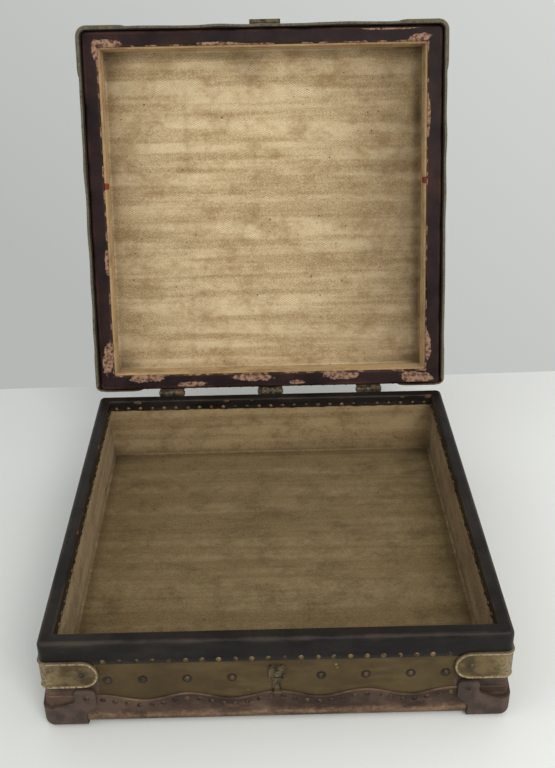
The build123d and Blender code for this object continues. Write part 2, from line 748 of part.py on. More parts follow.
def lid_pieces():
    pieces = tray_pieces(LID, "lid_", "top_board", on_lid, TACK_PITCH)
    pieces["lid_tacks"] = group([pieces.pop("lid_rim_tacks"), pieces.pop("lid_edge_tacks")])
    pieces["lid_panel_lining"] = on_lid(pad_lining(LID))
    front = corners(clamp(LID, LID.clamp_x, LID.clamp_x, LID.clamp_top))
    back = corners(clamp(LID, LID.clamp_x, LID.clamp_back, LID.clamp_top - LID.clamp_lower))
    clamps = [front["front_left"], front["front_right"], back["back_left"], back["back_right"]]
    pieces["lid_clamps"] = group([on_lid(shape) for shape in clamps])
    pieces["lid_caps"] = group([on_lid(shape) for shape in corners(cap(LID)).values()])
    pieces["lid_valance"] = on_lid(valance(LID))
    pieces["lid_stay_tapes"] = on_lid(stay_tapes(LID))
    pieces["hasp_plate"] = opened(hasp_plate())
    pieces["hasp_pin"] = opened(hasp_pin())
    pieces["hasp"] = opened(swing(hasp(), HASP_Y, HASP_Z, 180))
    ends = (-HANDLE_HALF, HANDLE_HALF)
    pieces["handle_brackets"] = group([opened(handle_bracket(x)) for x in ends])
    pieces["handle_pins"] = group([opened(handle_pin(x)) for x in ends])
    pieces["handle"] = Pos(opened(Pos(0, 0, PIVOT_Z)).position) * handle()
    return pieces


def hinge_pieces():
    pieces = {}
    for place, k in (("left", -1), ("middle", 0), ("right", 1)):
        x = k * HINGE_PITCH
        pieces[f"hinge_base_leaf_{place}"] = hinge_leaf(x, -1)
        pieces[f"hinge_lid_leaf_{place}"] = opened(hinge_leaf(x, 1))
    pieces["hinge_pins"] = group([hinge_pin(k * HINGE_PITCH) for k in (-1, 0, 1)])
    pieces["hinge_base_screws"] = hinge_screws(-1)
    pieces["hinge_lid_screws"] = opened(hinge_screws(1))
    return pieces


def main():
    """Builds every piece, centres the open box front to back, and writes one STEP file for each."""
    pieces = {**base_pieces(), **hinge_pieces(), **lid_pieces()}
    boxes = [shape.bounding_box() for shape in pieces.values()]
    middle = (min(box.min.Y for box in boxes) + max(box.max.Y for box in boxes)) / 2
    os.makedirs("parts", exist_ok=True)
    for name, shape in pieces.items():
        export_step(Pos(0, -middle, 0) * shape, f"parts/{name}.step")
    places = {
        "base": Pos(0, 0, 0),
        "hinge": Pos(0, HINGE_Y, HINGE_Z),
        "hasp": opened(Pos(HASP_X, HASP_Y, HASP_Z)),
        "handle": opened(Pos(0, 0, PIVOT_Z)),
    }
    for name, place in places.items():
        x, y, z = place.position
        print(name, round(x, 3), round(y - middle, 3), round(z, 3))
    print(len(pieces), "pieces")


main()
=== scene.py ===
"""An open hat box of canvas, leather and brass, dressed over its fixed frame of plain solids."""
from __future__ import annotations

import json
import logging
import math
from collections.abc import Callable, Iterable
from dataclasses import dataclass, field
from enum import Enum

import bmesh
import bpy
from mathutils import Matrix, Vector, noise

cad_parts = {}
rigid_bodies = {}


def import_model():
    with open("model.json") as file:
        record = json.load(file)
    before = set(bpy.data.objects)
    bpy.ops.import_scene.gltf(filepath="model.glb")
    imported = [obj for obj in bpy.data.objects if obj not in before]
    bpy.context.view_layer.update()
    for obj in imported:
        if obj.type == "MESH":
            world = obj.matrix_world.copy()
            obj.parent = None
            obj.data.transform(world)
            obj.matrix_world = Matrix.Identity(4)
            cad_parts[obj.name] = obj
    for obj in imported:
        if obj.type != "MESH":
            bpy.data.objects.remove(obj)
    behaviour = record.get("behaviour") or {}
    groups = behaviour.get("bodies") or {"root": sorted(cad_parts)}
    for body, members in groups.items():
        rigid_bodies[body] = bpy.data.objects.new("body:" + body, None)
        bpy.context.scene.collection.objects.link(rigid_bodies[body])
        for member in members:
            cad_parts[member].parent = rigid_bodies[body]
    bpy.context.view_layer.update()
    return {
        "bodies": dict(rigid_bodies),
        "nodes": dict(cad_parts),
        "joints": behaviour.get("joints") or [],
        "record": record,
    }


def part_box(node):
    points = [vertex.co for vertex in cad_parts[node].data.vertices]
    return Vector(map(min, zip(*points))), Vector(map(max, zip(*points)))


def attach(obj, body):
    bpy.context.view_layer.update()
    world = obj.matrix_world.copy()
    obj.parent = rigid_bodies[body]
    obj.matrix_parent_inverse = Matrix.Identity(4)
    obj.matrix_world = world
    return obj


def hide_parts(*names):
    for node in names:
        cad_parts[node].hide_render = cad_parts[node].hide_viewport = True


LOG = logging.getLogger("hat_box")
MM = 0.001
Colour = tuple[float, float, float]


def tone(red: int, green: int, blue: int) -> Colour:
    """A display colour, 0 to 255, as a linear one."""
    return tuple(
        v / 12.92 if v <= 0.04045 else ((v + 0.055) / 1.055) ** 2.4
        for v in (red / 255, green / 255, blue / 255)
    )


# ---------------------------------------------------------------- shading


class Socket:
    """One value in a material, with arithmetic that adds its own Math nodes."""

    def __init__(self, kit: "Kit", link: bpy.types.NodeSocket) -> None:
        """Keeps the node socket that the value comes from."""
        self.kit = kit
        self.link = link

    def maths(self, operation: str, other: "Socket | float", swapped: bool = False) -> "Socket":
        """A Math node on this value and another."""
        first, second = (other, self) if swapped else (self, other)
        return self.kit.node("ShaderNodeMath", {"operation": operation}, {0: first, 1: second})

    def __add__(self, other: "Socket | float") -> "Socket":
        """Sum."""
        return self.maths("ADD", other)

    __radd__ = __add__

    def __sub__(self, other: "Socket | float") -> "Socket":
        """Difference."""
        return self.maths("SUBTRACT", other)

    def __rsub__(self, other: "Socket | float") -> "Socket":
        """Difference from a number."""
        return self.maths("SUBTRACT", other, swapped=True)

    def __mul__(self, other: "Socket | float") -> "Socket":
        """Product."""
        return self.maths("MULTIPLY", other)

    __rmul__ = __mul__

    def rises(self, low: float, high: float) -> "Socket":
        """0 below low and 1 above high, smooth between; low may be the higher one."""
        return self.kit.node(
            "ShaderNodeMapRange", {"interpolation_type": "SMOOTHSTEP"},
            {0: self, 1: low, 2: high, 3: 0.0, 4: 1.0}
        )


class Kit:
    """Builds one material's nodes."""

    def __init__(self, name: str) -> None:
        """Starts an empty material.

        Args:
            name: the material's name.
        """
        self.material = bpy.data.materials.new(name)
        self.material.use_nodes = True
        self.tree = self.material.node_tree
        self.tree.nodes.clear()

    def node(self, kind: str, settings: dict | None = None, sockets: dict | None = None, out: int = 0) -> Socket:
        """Adds a node.

        Args:
            kind: the node's type.
            settings: its properties, set first.
            sockets: values or links by socket index or name.
            out: which output is wanted.

        Returns:
            The wanted output.
        """
        made = self.tree.nodes.new(kind)
        for key, value in (settings or {}).items():
            setattr(made, key, value)
        for key, value in (sockets or {}).items():
            if isinstance(value, Socket):
                self.tree.links.new(value.link, made.inputs[key])
            else:
                made.inputs[key].default_value = value
        return Socket(self, made.outputs[out] if made.outputs else None)

    def place(self, frame: Matrix | None = None, scale: Iterable[float] = (1, 1, 1)) -> Socket:
        """Object coordinates, turned into a tray's own frame.

        Args:
            frame: from the tray's frame to the object's.
            scale: stretches the pattern.

        Returns:
            The coordinates, in metres.
        """
        here = self.node("ShaderNodeTexCoord", out=3)
        if frame is not None:
            back = frame.inverted()
            handed = (1, 1, math.copysign(1, back.determinant()))
            turn = (back.to_3x3() @ Matrix.Diagonal(handed)).to_euler()
            here = self.node("ShaderNodeMapping", {"vector_type": "POINT"},
                             {0: here, 1: back.translation, 2: turn, 3: handed})
        return self.node("ShaderNodeVectorMath", {"operation": "MULTIPLY"}, {0: here, 1: tuple(scale)})

    def axis(self, place: Socket, index: int) -> Socket:
        """One coordinate of a place."""
        return self.node("ShaderNodeSeparateXYZ", None, {0: place}, index)

    def attribute(self, name: str) -> Socket:
        """A number kept on the mesh."""
        return self.node("ShaderNodeAttribute", {"attribute_name": name}, None, 2)

    def cloud(self, place: Socket, scale: float, detail: float = 3.0, rough: float = 0.55) -> Socket:
        """Soft noise, about 0.5 on average."""
        return self.node("ShaderNodeTexNoise", None, {0: place, 2: scale, 3: detail, 4: rough})

    def cells(self, place: Socket, scale: float) -> Socket:
        """Distance to the nearest of scattered points."""
        return self.node("ShaderNodeTexVoronoi", None, {0: place, 2: scale})

    def blend(self, factor: Socket | float, first: "Socket | Colour", second: "Socket | Colour") -> Socket:
        """Mixes two colours."""
        ends = [(*c, 1.0) if isinstance(c, tuple) else c for c in (first, second)]
        return self.node("ShaderNodeMix", {"data_type": "RGBA"}, {0: factor, 6: ends[0], 7: ends[1]}, 2)

    def relief(self, height: Socket, depth: float, strength: float = 1.0) -> Socket:
        """A bump from a height of 0 to 1, depth metres deep."""
        return self.node("ShaderNodeBump", None, {"Strength": strength, "Distance": depth, "Height": height})

    def close(self, colour: "Socket | Colour", rough: "Socket | float", normal: Socket | None = None,
              metal: "Socket | float" = 0.0, **constants: float) -> bpy.types.Material:
        """Ends the material with its shader.

        Args:
            colour: base colour.
            rough: roughness.
            normal: the bump, if any.
            metal: how metallic it is.
            constants: other sockets, set to plain numbers.

        Returns:
            The finished material.
        """
        sockets = {"Base Color": (*colour, 1.0) if isinstance(colour, tuple) else colour,
                   "Roughness": rough, "Metallic": metal}
        if normal is not None:
            sockets["Normal"] = normal
        sockets.update({key.replace("_", " "): value for key, value in constants.items()})
        shader = self.node("ShaderNodeBsdfPrincipled", None, sockets)
        self.node("ShaderNodeOutputMaterial", None, {0: shader})
        return self.material


@dataclass(frozen=True)
class Finish:
    """One finish of the box."""

    name: str

    def material(self) -> bpy.types.Material:
        """Builds the finish's material."""
        raise NotImplementedError


@dataclass(frozen=True)
class Lining(Finish):
    """Twill cloth glued on boards, with woven bands, stains and specks, painted glints, and dirt and painted shade
    from its marks.
    """

    frame: Matrix
    pale: Colour
    mid: Colour
    brown: Colour
    flat: bool = True  # on the panel or floor; the walls have their bands along the rim
    band: float = 0.5
    soil: float = 0.5
    shift: float = 0.0
    painted_glint: float = 0.12  # how strongly the painted glints show: highlights on the twill's pale threads

    def material(self) -> bpy.types.Material:
        """Builds the cloth's material.

        Returns:
            The material, with all its nodes.
        """
        kit = Kit(self.name)
        here = kit.place(self.frame)
        moved = kit.node("ShaderNodeVectorMath", {"operation": "ADD"}, {0: here, 1: (self.shift,) * 3})

        def stretched(x: float, y: float, z: float) -> Socket:
            """The place, scaled along each axis."""
            return kit.node("ShaderNodeVectorMath", {"operation": "MULTIPLY"}, {0: moved, 1: (x, y, z)})

        rows = stretched(4, 70, 70) if self.flat else stretched(3, 3, 60)
        bands = kit.cloud(rows, 1.0, 3.0, 0.5)
        fine_rows = kit.cloud(stretched(6, 260, 260), 1.0, 3.0, 0.6)
        slubs = kit.cloud(stretched(170, 900, 900), 1.0, 3.0, 0.7)
        threads = kit.cloud(stretched(900, 120, 120), 1.0, 2.0)
        x, y, z = (kit.axis(moved, i) for i in range(3))
        drift = kit.cloud(moved, 60.0, 2.0) * 5.0
        diagonal = (x * 1300.0 + y * 2400.0 + z * 2400.0 + drift).maths("SINE", 0.0) * 0.5 + 0.5
        mottled = kit.cloud(stretched(26, 34, 34), 1.0, 8.0, 0.76)
        stains = kit.cloud(moved, 11.0, 5.0, 0.62).rises(0.58, 0.76)
        blots = kit.cloud(moved, 55.0, 5.0, 0.72).rises(0.68, 0.80)
        specks = (kit.cells(moved, 90.0) + kit.cloud(moved, 260.0, 3.0, 0.7) * 0.30).rises(0.29, 0.19)
        specks = specks * kit.cloud(moved, 26.0, 1.0).rises(0.53, 0.60)
        light = bands.rises(0.36, 0.64) * self.band + fine_rows * 0.45 + slubs * 0.42 + threads * 0.2
        grit = kit.cloud(moved, 430.0, 3.0, 0.75)
        light = light + diagonal * 0.2 + grit.rises(0.34, 0.66) * 0.34 - 0.26
        cloth = kit.blend(light.rises(0.22, 0.98), self.mid, self.pale)
        # painted highlight: pale glints on the twill, blended towards near-white where bands and diagonals meet
        painted_glint = diagonal.rises(0.45, 0.95) * bands.rises(0.44, 0.60)
        painted_glint = painted_glint * kit.cloud(moved, 75.0, 3.0, 0.6).rises(0.42, 0.60)
        cloth = kit.blend(painted_glint * self.painted_glint, cloth, tone(238, 222, 190))
        cloth = kit.blend(mottled.rises(0.44, 0.68) * 0.6, cloth, self.brown)
        darkening = (stains * 0.30 + blots * 0.30) * self.soil
        cloth = kit.blend(darkening, cloth, tone(98, 74, 44))
        # darkened where the grime_and_shade mark is set: partly dirt, partly painted shade near walls, in corners
        # and creases
        grime_and_shade = kit.attribute("grime_and_shade")
        cloth = kit.blend(grime_and_shade * (kit.cloud(moved, 30.0, 5.0, 0.65) * 0.9 + 0.3), cloth, tone(66, 50, 31))
        cloth = kit.blend(specks * 0.75, cloth, tone(48, 34, 21))
        weave = diagonal * 0.4 + slubs * 0.7 + threads * 0.5 + fine_rows * 0.4 + grit * 0.8
        return kit.close(cloth, 0.88, kit.relief(weave, 0.00035), Specular_IOR_Level=0.12, Sheen_Weight=0.05)


@dataclass(frozen=True)
class Leather(Finish):
    """Old leather with fine grain, scuffs along its folds and patches of raw hide; on the black rim leather the
    fold scuffs are partly a painted highlight.
    """

    deep: Colour
    face: Colour
    scuff_and_highlight: Colour
    raw: Colour
    rough: float = 0.5
    grain: float = 850.0
    wear: float = 0.4
    torn_edge: float = 0.10  # how softly the bare hide begins
    shine: float = 0.14
    streak: tuple[float, float, float] = (14.0, 14.0, 60.0)
    frame: Matrix | None = None

    def material(self) -> bpy.types.Material:
        """Builds the leather's material.

        Returns:
            The material, with all its nodes.
        """
        kit = Kit(self.name)
        here = kit.place(self.frame)
        along = kit.place(self.frame, self.streak)
        tint = kit.cloud(here, 22.0, 5.0, 0.6)
        pores = kit.cells(here, self.grain)
        creases = kit.cloud(here, 160.0, 5.0, 0.65)
        rubs = kit.cloud(along, 1.0, 5.0, 0.65)
        hide = kit.blend(tint.rises(0.38, 0.66), self.deep, self.face)
        edge = kit.attribute("edge")
        # lighter scuff colour on rubs and folds: wear, and on the black rim leather also a painted highlight line
        # along its top edge
        scuff_and_highlight_mask = (rubs.rises(0.50, 0.74) * self.wear + edge * rubs.rises(0.34, 0.62) * 0.8)
        hide = kit.blend(scuff_and_highlight_mask, hide, self.scuff_and_highlight)
        ragged = kit.cloud(here, 75.0, 6.0, 0.75) * 2.4 + kit.cloud(along, 1.3, 3.0, 0.6) * 0.6
        bare = (kit.attribute("bare") * 2.0 + ragged - 2.75).rises(0.0, self.torn_edge)
        hide = kit.blend(bare, hide, kit.blend(kit.cloud(here, 210.0, 3.0, 0.6).rises(0.4, 0.65),
                                               self.raw, self.scuff_and_highlight))
        rough = self.rough + scuff_and_highlight_mask * 0.2 + bare * 0.3 - tint * 0.12 + creases * 0.1
        height = creases * 0.7 + pores * 0.35 - bare * 0.6 + rubs * 0.4
        return kit.close(hide, rough, kit.relief(height, 0.0005, 0.75),
                         Specular_IOR_Level=self.shine)


@dataclass(frozen=True)
class Brass(Finish):
    """Worn brass or painted metal: tarnished in the flats and rubbed bright on its edges."""

    dull: Colour
    clean: Colour
    bright: Colour
    metal: float = 0.8
    rough: float = 0.42
    spots: float = 70.0  # how quickly the tarnish changes
    share: float = 0.5  # where between dull and clean most of it lies

    def material(self) -> bpy.types.Material:
        """Builds the metal's material.

        Returns:
            The material, with all its nodes.
        """
        kit = Kit(self.name)
        here = kit.place()
        tarnish = kit.cloud(here, self.spots, 4.0, 0.6)
        fine = kit.cloud(here, 420.0, 4.0, 0.6)
        skin = kit.blend(tarnish.rises(self.share - 0.12, self.share + 0.12), self.dull, self.clean)
        edge = kit.attribute("edge")
        rubbed = edge * fine.rises(0.30, 0.60)
        skin = kit.blend(rubbed, skin, self.bright)
        # darkened and dulled by the grime_and_shade mark: dirt round the clamps' nails and edges, painted shade on
        # the valance's inner face
        grime_and_shade = kit.attribute("grime_and_shade") * fine.rises(0.25, 0.65)
        skin = kit.blend(grime_and_shade, skin, tone(44, 36, 26))
        rough = self.rough + tarnish * 0.25 - rubbed * 0.15 + fine * 0.1
        return kit.close(skin, rough, kit.relief(fine * 0.6 + tarnish, 0.0004, 0.6),
                         self.metal * (1.0 - grime_and_shade * 0.7))


@dataclass(frozen=True)
class Canvas(Finish):
    """Painted olive canvas with its plain weave showing through."""

    low: Colour
    high: Colour
    scuffed: Colour

    def material(self) -> bpy.types.Material:
        """Builds the canvas's material.

        Returns:
            The material, with all its nodes.
        """
        kit = Kit(self.name)
        here = kit.place()
        warp = [kit.axis(here, i).maths("MULTIPLY", 4200.0).maths("SINE", 0.0) for i in range(3)]
        weave = warp[0] * warp[2] + warp[1] * warp[2]
        tint = kit.cloud(here, 16.0, 5.0, 0.62)
        smear = kit.cloud(kit.place(None, (20, 20, 90)), 1.0, 5.0, 0.6)
        cover = kit.blend(tint.rises(0.36, 0.66), self.low, self.high)
        cover = kit.blend(smear.rises(0.52, 0.76) * 0.45, cover, self.scuffed)
        spots = kit.cells(here, 60.0).rises(0.10, 0.03) * kit.cloud(here, 12.0, 1.0).rises(0.5, 0.65)
        cover = kit.blend(spots * 0.5, cover, tone(160, 150, 120))
        cover = kit.blend(kit.cloud(here, 60.0, 4.0, 0.7).rises(0.62, 0.75) * 0.5, cover, tone(52, 44, 32))
        return kit.close(cover, 0.62 + tint * 0.2, kit.relief(weave * 0.12 + tint, 0.0004, 0.7),
                         Specular_IOR_Level=0.2)


@dataclass(frozen=True)
class Timber(Finish):
    """Plain softwood boards."""

    early: Colour
    late: Colour

    def material(self) -> bpy.types.Material:
        """Builds the wood's material.

        Returns:
            The material, with all its nodes.
        """
        kit = Kit(self.name)
        grain = kit.cloud(kit.place(None, (9, 140, 140)), 1.0, 4.0, 0.6)
        rings = (grain * 24.0).maths("SINE", 0.0) * 0.5 + 0.5
        wood = kit.blend(rings.rises(0.2, 0.9), self.early, self.late)
        return kit.close(wood, 0.75, kit.relief(rings * 0.4 + grain, 0.0003))


# ---------------------------------------------------------------- shapes


class Side(Enum):
    """The four walls, in the order they are met going round."""

    FRONT = 0
    RIGHT = 1
    BACK = 2
    LEFT = 3

    @property
    def after(self) -> "Side":
        """The next wall round."""
        return Side((self.value + 1) % 4)


@dataclass(frozen=True)
class Spot:
    """A place on the outline: a share of a wall's straight run, or of the corner after it."""

    side: Side
    run: float = 0.0  # -1 to 1 along the wall
    turn: float = 0.0  # 0 to 1 round the corner after it
    step: float = 0.0  # metres past the run's share


@dataclass(frozen=True)
class Outline:
    """A rectangle with rounded corners, and its offsets."""

    half_x: float
    half_y: float
    radius: float

    def halves(self, side: Side) -> tuple[float, float]:
        """Half the wall's length and its distance from the middle."""
        return (self.half_x, self.half_y) if side.value % 2 == 0 else (self.half_y, self.half_x)

    def point(self, spot: Spot, out: float) -> Vector:
        """The place of a spot at an offset.

        Args:
            spot: where on the outline.
            out: the offset, outwards.

        Returns:
            The place, with z 0.
        """
        along, away = self.halves(spot.side)
        radius = max(self.radius + out, 0.4 * MM)
        run = along + out - radius
        if spot.turn > 0:
            angle = spot.turn * math.pi / 2
            at = Vector((run + radius * math.sin(angle), -(away + out - radius) - radius * math.cos(angle), 0))
        else:
            at = Vector((spot.run * run + spot.step, -away - out, 0))
        return Matrix.Rotation(spot.side.value * math.pi / 2, 3, "Z") @ at

    def round(self, runs: int, turns: int, sides: Iterable[Side] = tuple(Side)) -> list[Spot]:
        """Spots all the way round, or along some of the walls.

        Args:
            runs: steps along each wall.
            turns: steps round each corner.
            sides: the walls, in order.

        Returns:
            The spots; the last one closes the way round if all four walls are there.
        """
        sides = list(sides)
        spots = []
        for side in sides:
            spots += [Spot(side, -1 + 2 * k / runs) for k in range(runs)]
            spots += [Spot(side, 1.0, k / turns) for k in range(turns)]
        if len(sides) == 4:
            return spots + [Spot(sides[0], -1.0)]
        return spots[: len(spots) - turns] + [Spot(sides[-1], 1.0)]

    def corner(self, side: Side, reach: float, steps: list[float], turns: int) -> list[tuple[Spot, float]]:
        """The way round the corner after a wall, from one end of a strip to the other.

        Args:
            side: the wall before the corner.
            reach: how far the strip reaches from the box's corner along both walls.
            steps: distances from an end, up to where the corner begins to turn.
            turns: steps round the corner.

        Returns:
            Spots, each with its distance to the nearer end.
        """
        flat_part = reach - self.radius
        before, after = (self.halves(wall)[0] - self.radius for wall in (side, side.after))
        way = [(Spot(side, step=before - flat_part + d), d) for d in steps]
        way += [(Spot(side, 1, k / turns), reach) for k in range(1, turns)]
        return way + [(Spot(side.after, step=-after + flat_part - d), d) for d in reversed(steps)]

    def along(self, spot: Spot) -> float:
        """How far along its wall a spot is, from the wall's middle."""
        half = self.halves(spot.side)[0]
        return half if spot.turn > 0 else spot.run * (half - self.radius) + spot.step


@dataclass
class Section:
    """A point of a swept profile: its offset, height and marks, given the spot."""

    out: float
    height: float
    marks: dict[str, float] = field(default_factory=dict)


MARKS = ("edge", "bare", "grime_and_shade")


def marked() -> tuple[bmesh.types.BMesh, dict]:
    """An empty mesh and the layers of its marks."""
    mesh = bmesh.new()
    return mesh, {name: mesh.verts.layers.float.new(name) for name in MARKS}


def grid(columns: int, rows: int) -> tuple[bmesh.types.BMesh, list[tuple[bmesh.types.BMVert, int, int]], dict]:
    """A flat grid, to be laid onto a surface.

    Args:
        columns: steps one way.
        rows: steps the other way.

    Returns:
        The mesh, each vertex with its column and row, and the layers of its marks.
    """
    mesh, layers = marked()
    bmesh.ops.create_grid(mesh, x_segments=columns, y_segments=rows, size=1.0)
    found = [
        (v, round((v.co.x + 1) / 2 * columns), round((v.co.y + 1) / 2 * rows))
        for v in mesh.verts
    ]
    return mesh, found, layers


def sweep(outline: Outline, spots: list[Spot], profile: Callable[[Spot], list[Section]]) -> bmesh.types.BMesh:
    """Sweeps a profile along an outline.

    Args:
        outline: the outline.
        spots: where on it.
        profile: gives the profile's points at a spot, always as many.

    Returns:
        The swept mesh, its doubles merged.
    """
    sections = [profile(spot) for spot in spots]
    mesh, found, layers = grid(len(spots) - 1, len(sections[0]) - 1)
    for vertex, column, row in found:
        section = sections[column][row]
        vertex.co = outline.point(spots[column], section.out)
        vertex.co.z = section.height
        for name, value in section.marks.items():
            vertex[layers[name]] = value
    bmesh.ops.remove_doubles(mesh, verts=mesh.verts, dist=1e-6)
    bmesh.ops.recalc_face_normals(mesh, faces=mesh.faces)
    return mesh


def thickened(mesh: bmesh.types.BMesh, towards: Vector, thickness: float) -> bmesh.types.BMesh:
    """Faces a sheet one way and gives it a thickness.

    Args:
        mesh: the sheet.
        towards: which way most of it should face.
        thickness: how thick it becomes.

    Returns:
        The same mesh.
    """
    bmesh.ops.recalc_face_normals(mesh, faces=mesh.faces)
    if sum((face.normal.dot(towards) * face.calc_area() for face in mesh.faces), 0.0) < 0:
        bmesh.ops.reverse_faces(mesh, faces=mesh.faces)
    bmesh.ops.solidify(mesh, geom=mesh.faces[:], thickness=thickness)
    bmesh.ops.recalc_face_normals(mesh, faces=mesh.faces)
    return mesh


def wobble(*where: float, scale: float, seed: float = 0.0) -> float:
    """Smooth noise from about -1 to 1 at a place."""
    return noise.noise(Vector([*(w * scale for w in where), *([0.0] * (3 - len(where)))]) + Vector((seed,) * 3))


@dataclass
class Piece:
    """Turns a finished mesh into an object of the box."""

    name: str
    body: str
    slot: str
    finish: bpy.types.Material
    replaces: tuple[str, ...] = ()
    crease: float = 40.0

    def make(self, mesh: bmesh.types.BMesh, frame: Matrix) -> bpy.types.Object:
        """Places the mesh and hands it over.

        Args:
            mesh: the shape, in a tray's own frame.
            frame: from that frame to the box's.

        Returns:
            The object, riding on its body.
        """
        mesh.transform(frame)
        if frame.determinant() < 0:
            bmesh.ops.reverse_faces(mesh, faces=mesh.faces)
        data = bpy.data.meshes.new(self.name)
        mesh.to_mesh(data)
        mesh.free()
        data.shade_smooth()
        data.set_sharp_from_angle(angle=math.radians(self.crease))
        data.materials.append(self.finish)
        piece = bpy.data.objects.new(self.name, data)
        bpy.context.scene.collection.objects.link(piece)
        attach(piece, self.body)
        if self.replaces:
            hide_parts(*self.replaces)
        LOG.info("%s: %d faces", self.name, len(data.polygons))
        return piece


# ---------------------------------------------------------------- the box


@dataclass
class Tray:
    """Sizes and frame of one tray, in metres; its rim is at z = 0 and its bottom below."""

    body: str
    frame: Matrix
    outline: Outline
    depth: float
    core: float  # canvas to the lining's face
    turn: float  # how far the turned-in leather stands out from the core
    band_drop: float  # rim to the leather band's lower edge
    floor: float  # face of the bottom's lining
    edge_height: float  # bottom to the middle of the scallops
    swing: float  # half the height of a scallop
    clamp_top: float
    clamp_height: float
    band: float = 1.8 * MM
    edge: float = 2.0 * MM
    patch: float = 50 * MM
    collar: float = 0.0  # padding under the wall's cloth
    back_clamp_drop: float = 0.0

    @property
    def face(self) -> float:
        """Offset of the wall cloth's face."""
        return -self.core - self.collar

    def wall_face(self, height: float) -> float:
        """Offset of the wall cloth's face at a height; it swells out below the turned-in leather."""
        fill = min(max((-height - 2.2 * MM) / (3 * MM), 0.0), 1.0)
        return -self.core - self.collar * math.sin(fill * math.pi / 2)

    def wave(self, spot: Spot) -> float:
        """Height of the scalloped edge.

        Args:
            spot: where on the outline.

        Returns:
            The height, in the tray's frame.
        """
        half = self.outline.halves(spot.side)[0] - self.patch
        at = self.outline.along(spot)
        if abs(at) >= half:
            return -self.depth + self.edge_height + self.swing
        pitch = half / max(1, round(half / (83 * MM)))
        return -self.depth + self.edge_height + self.swing * math.cos(2 * math.pi * at / pitch)


@dataclass
class RimLeather:
    """Leather folded over a tray's rim: outer band, top and turned-in flange."""

    tray: Tray
    name: str
    finish: bpy.types.Material
    slot: str
    torn: float  # how ragged the turned-in edge is
    drop: float  # how far it is turned in
    bare_spots: list[tuple[Side, float, float, float, float]] = field(default_factory=list)

    def bareness(self, spot: Spot, share: float) -> float:
        """How worn the leather is.

        Args:
            spot: where on the outline.
            share: how far from the outer fold to the inner one.

        Returns:
            0 where it is whole, 1 where it is bare.
        """
        at = self.tray.outline.along(spot)
        worn = 0.0
        for side, along, across, long, wide in self.bare_spots:
            if spot.side is side:
                worn = max(worn, 1 - math.hypot((at - along) / long, (share - across) / wide))
        place = self.tray.outline.point(spot, 0)
        chipped = self.torn / (2.4 * MM) * max(0.0, wobble(place.x, place.y, scale=60, seed=61.0) + 0.25) * 2.2
        return max(0.0, min(1.0, worn * 1.25), min(chipped, 0.85) * max(0.0, (share - 0.8) / 0.2) ** 1.5)

    def profile(self, spot: Spot) -> list[Section]:
        """The folded leather's section at a spot.

        Args:
            spot: where on the outline.

        Returns:
            The section's points, in order.
        """
        tray = self.tray
        at = tray.outline.point(spot, 0)
        ripple = wobble(at.x, at.y, scale=28, seed=2.0) * 0.35 * MM
        torn = self.torn * (wobble(at.x, at.y, scale=95, seed=7.0) + 0.6 * wobble(at.x, at.y, scale=260, seed=4.0))
        inner = -(tray.core + tray.turn)
        low = -max(1.4 * MM, self.drop + torn)
        band = tray.band
        seam = -2.2 * MM
        across = [0.0, 0.1, 0.22, 0.36, 0.5, 0.64, 0.78, 0.9, 1.0]
        top = [
            Section(-1.6 * MM + (inner + 2.6 * MM) * s,
                    ripple * (0.4 + s) * (1 - s) - (0.25 * MM if s > 0.95 else 0),
                    {"bare": self.bareness(spot, s), "edge": 0.8 if s < 0.1 or s > 0.9 else 0.15})
            for s in across
        ]
        return [
            Section(0.05 * MM, -tray.band_drop + 0.2 * MM, {"edge": 0.2}),
            Section(band - 0.5 * MM, -tray.band_drop, {"edge": 0.5}),
            Section(band, -tray.band_drop + 0.7 * MM, {"edge": 0.4}),
            Section(band, -tray.band_drop + 5 * MM),
            Section(band, -tray.band_drop * 0.55),
            Section(band - 0.05 * MM, -5.4 * MM, {"edge": 0.1}),
            Section(band - 0.35 * MM, seam - 1.2 * MM, {"edge": 0.35}),
            # the outer fold's edge marks: wear, and on the black leather a painted highlight line along the top
            # edge
            Section(band - 0.75 * MM, seam, {"edge": 0.8}),
            Section(band - 1.45 * MM, -1.1 * MM, {"edge": 1.0}),
            Section(-0.7 * MM, -0.3 * MM, {"edge": 0.9}),
            *top,
            Section(inner + 0.25 * MM, -0.9 * MM, {"edge": 0.7, "bare": self.bareness(spot, 1.0)}),
            Section(inner, -1.8 * MM, {"edge": 0.3, "bare": self.bareness(spot, 1.05)}),
            Section(inner - 0.1 * MM, (low - 1.8 * MM) / 2, {"edge": 0.2}),
            Section(inner - 0.05 * MM, low + 0.35 * MM, {"edge": 0.7, "bare": 0.3 if self.torn else 0.0}),
            Section(inner + 0.5 * MM, low, {"edge": 0.8}),
            Section(-tray.core - 0.05 * MM, low + 0.1 * MM, {"edge": 0.4}),
            Section(-tray.core - 0.05 * MM, -1.2 * MM),
            Section(0.05 * MM, -1.2 * MM),
            Section(0.05 * MM, -tray.band_drop + 0.2 * MM, {"edge": 0.2}),
        ]

    def build(self) -> bpy.types.Object:
        """Sweeps the leather round the rim.

        Returns:
            The piece.
        """
        spots = self.tray.outline.round(150, 7)
        mesh = sweep(self.tray.outline, spots, self.profile)
        return Piece(self.name, self.tray.body, self.slot, self.finish,
                     (f"{self.tray.body}_rim_binding",)).make(mesh, self.tray.frame)


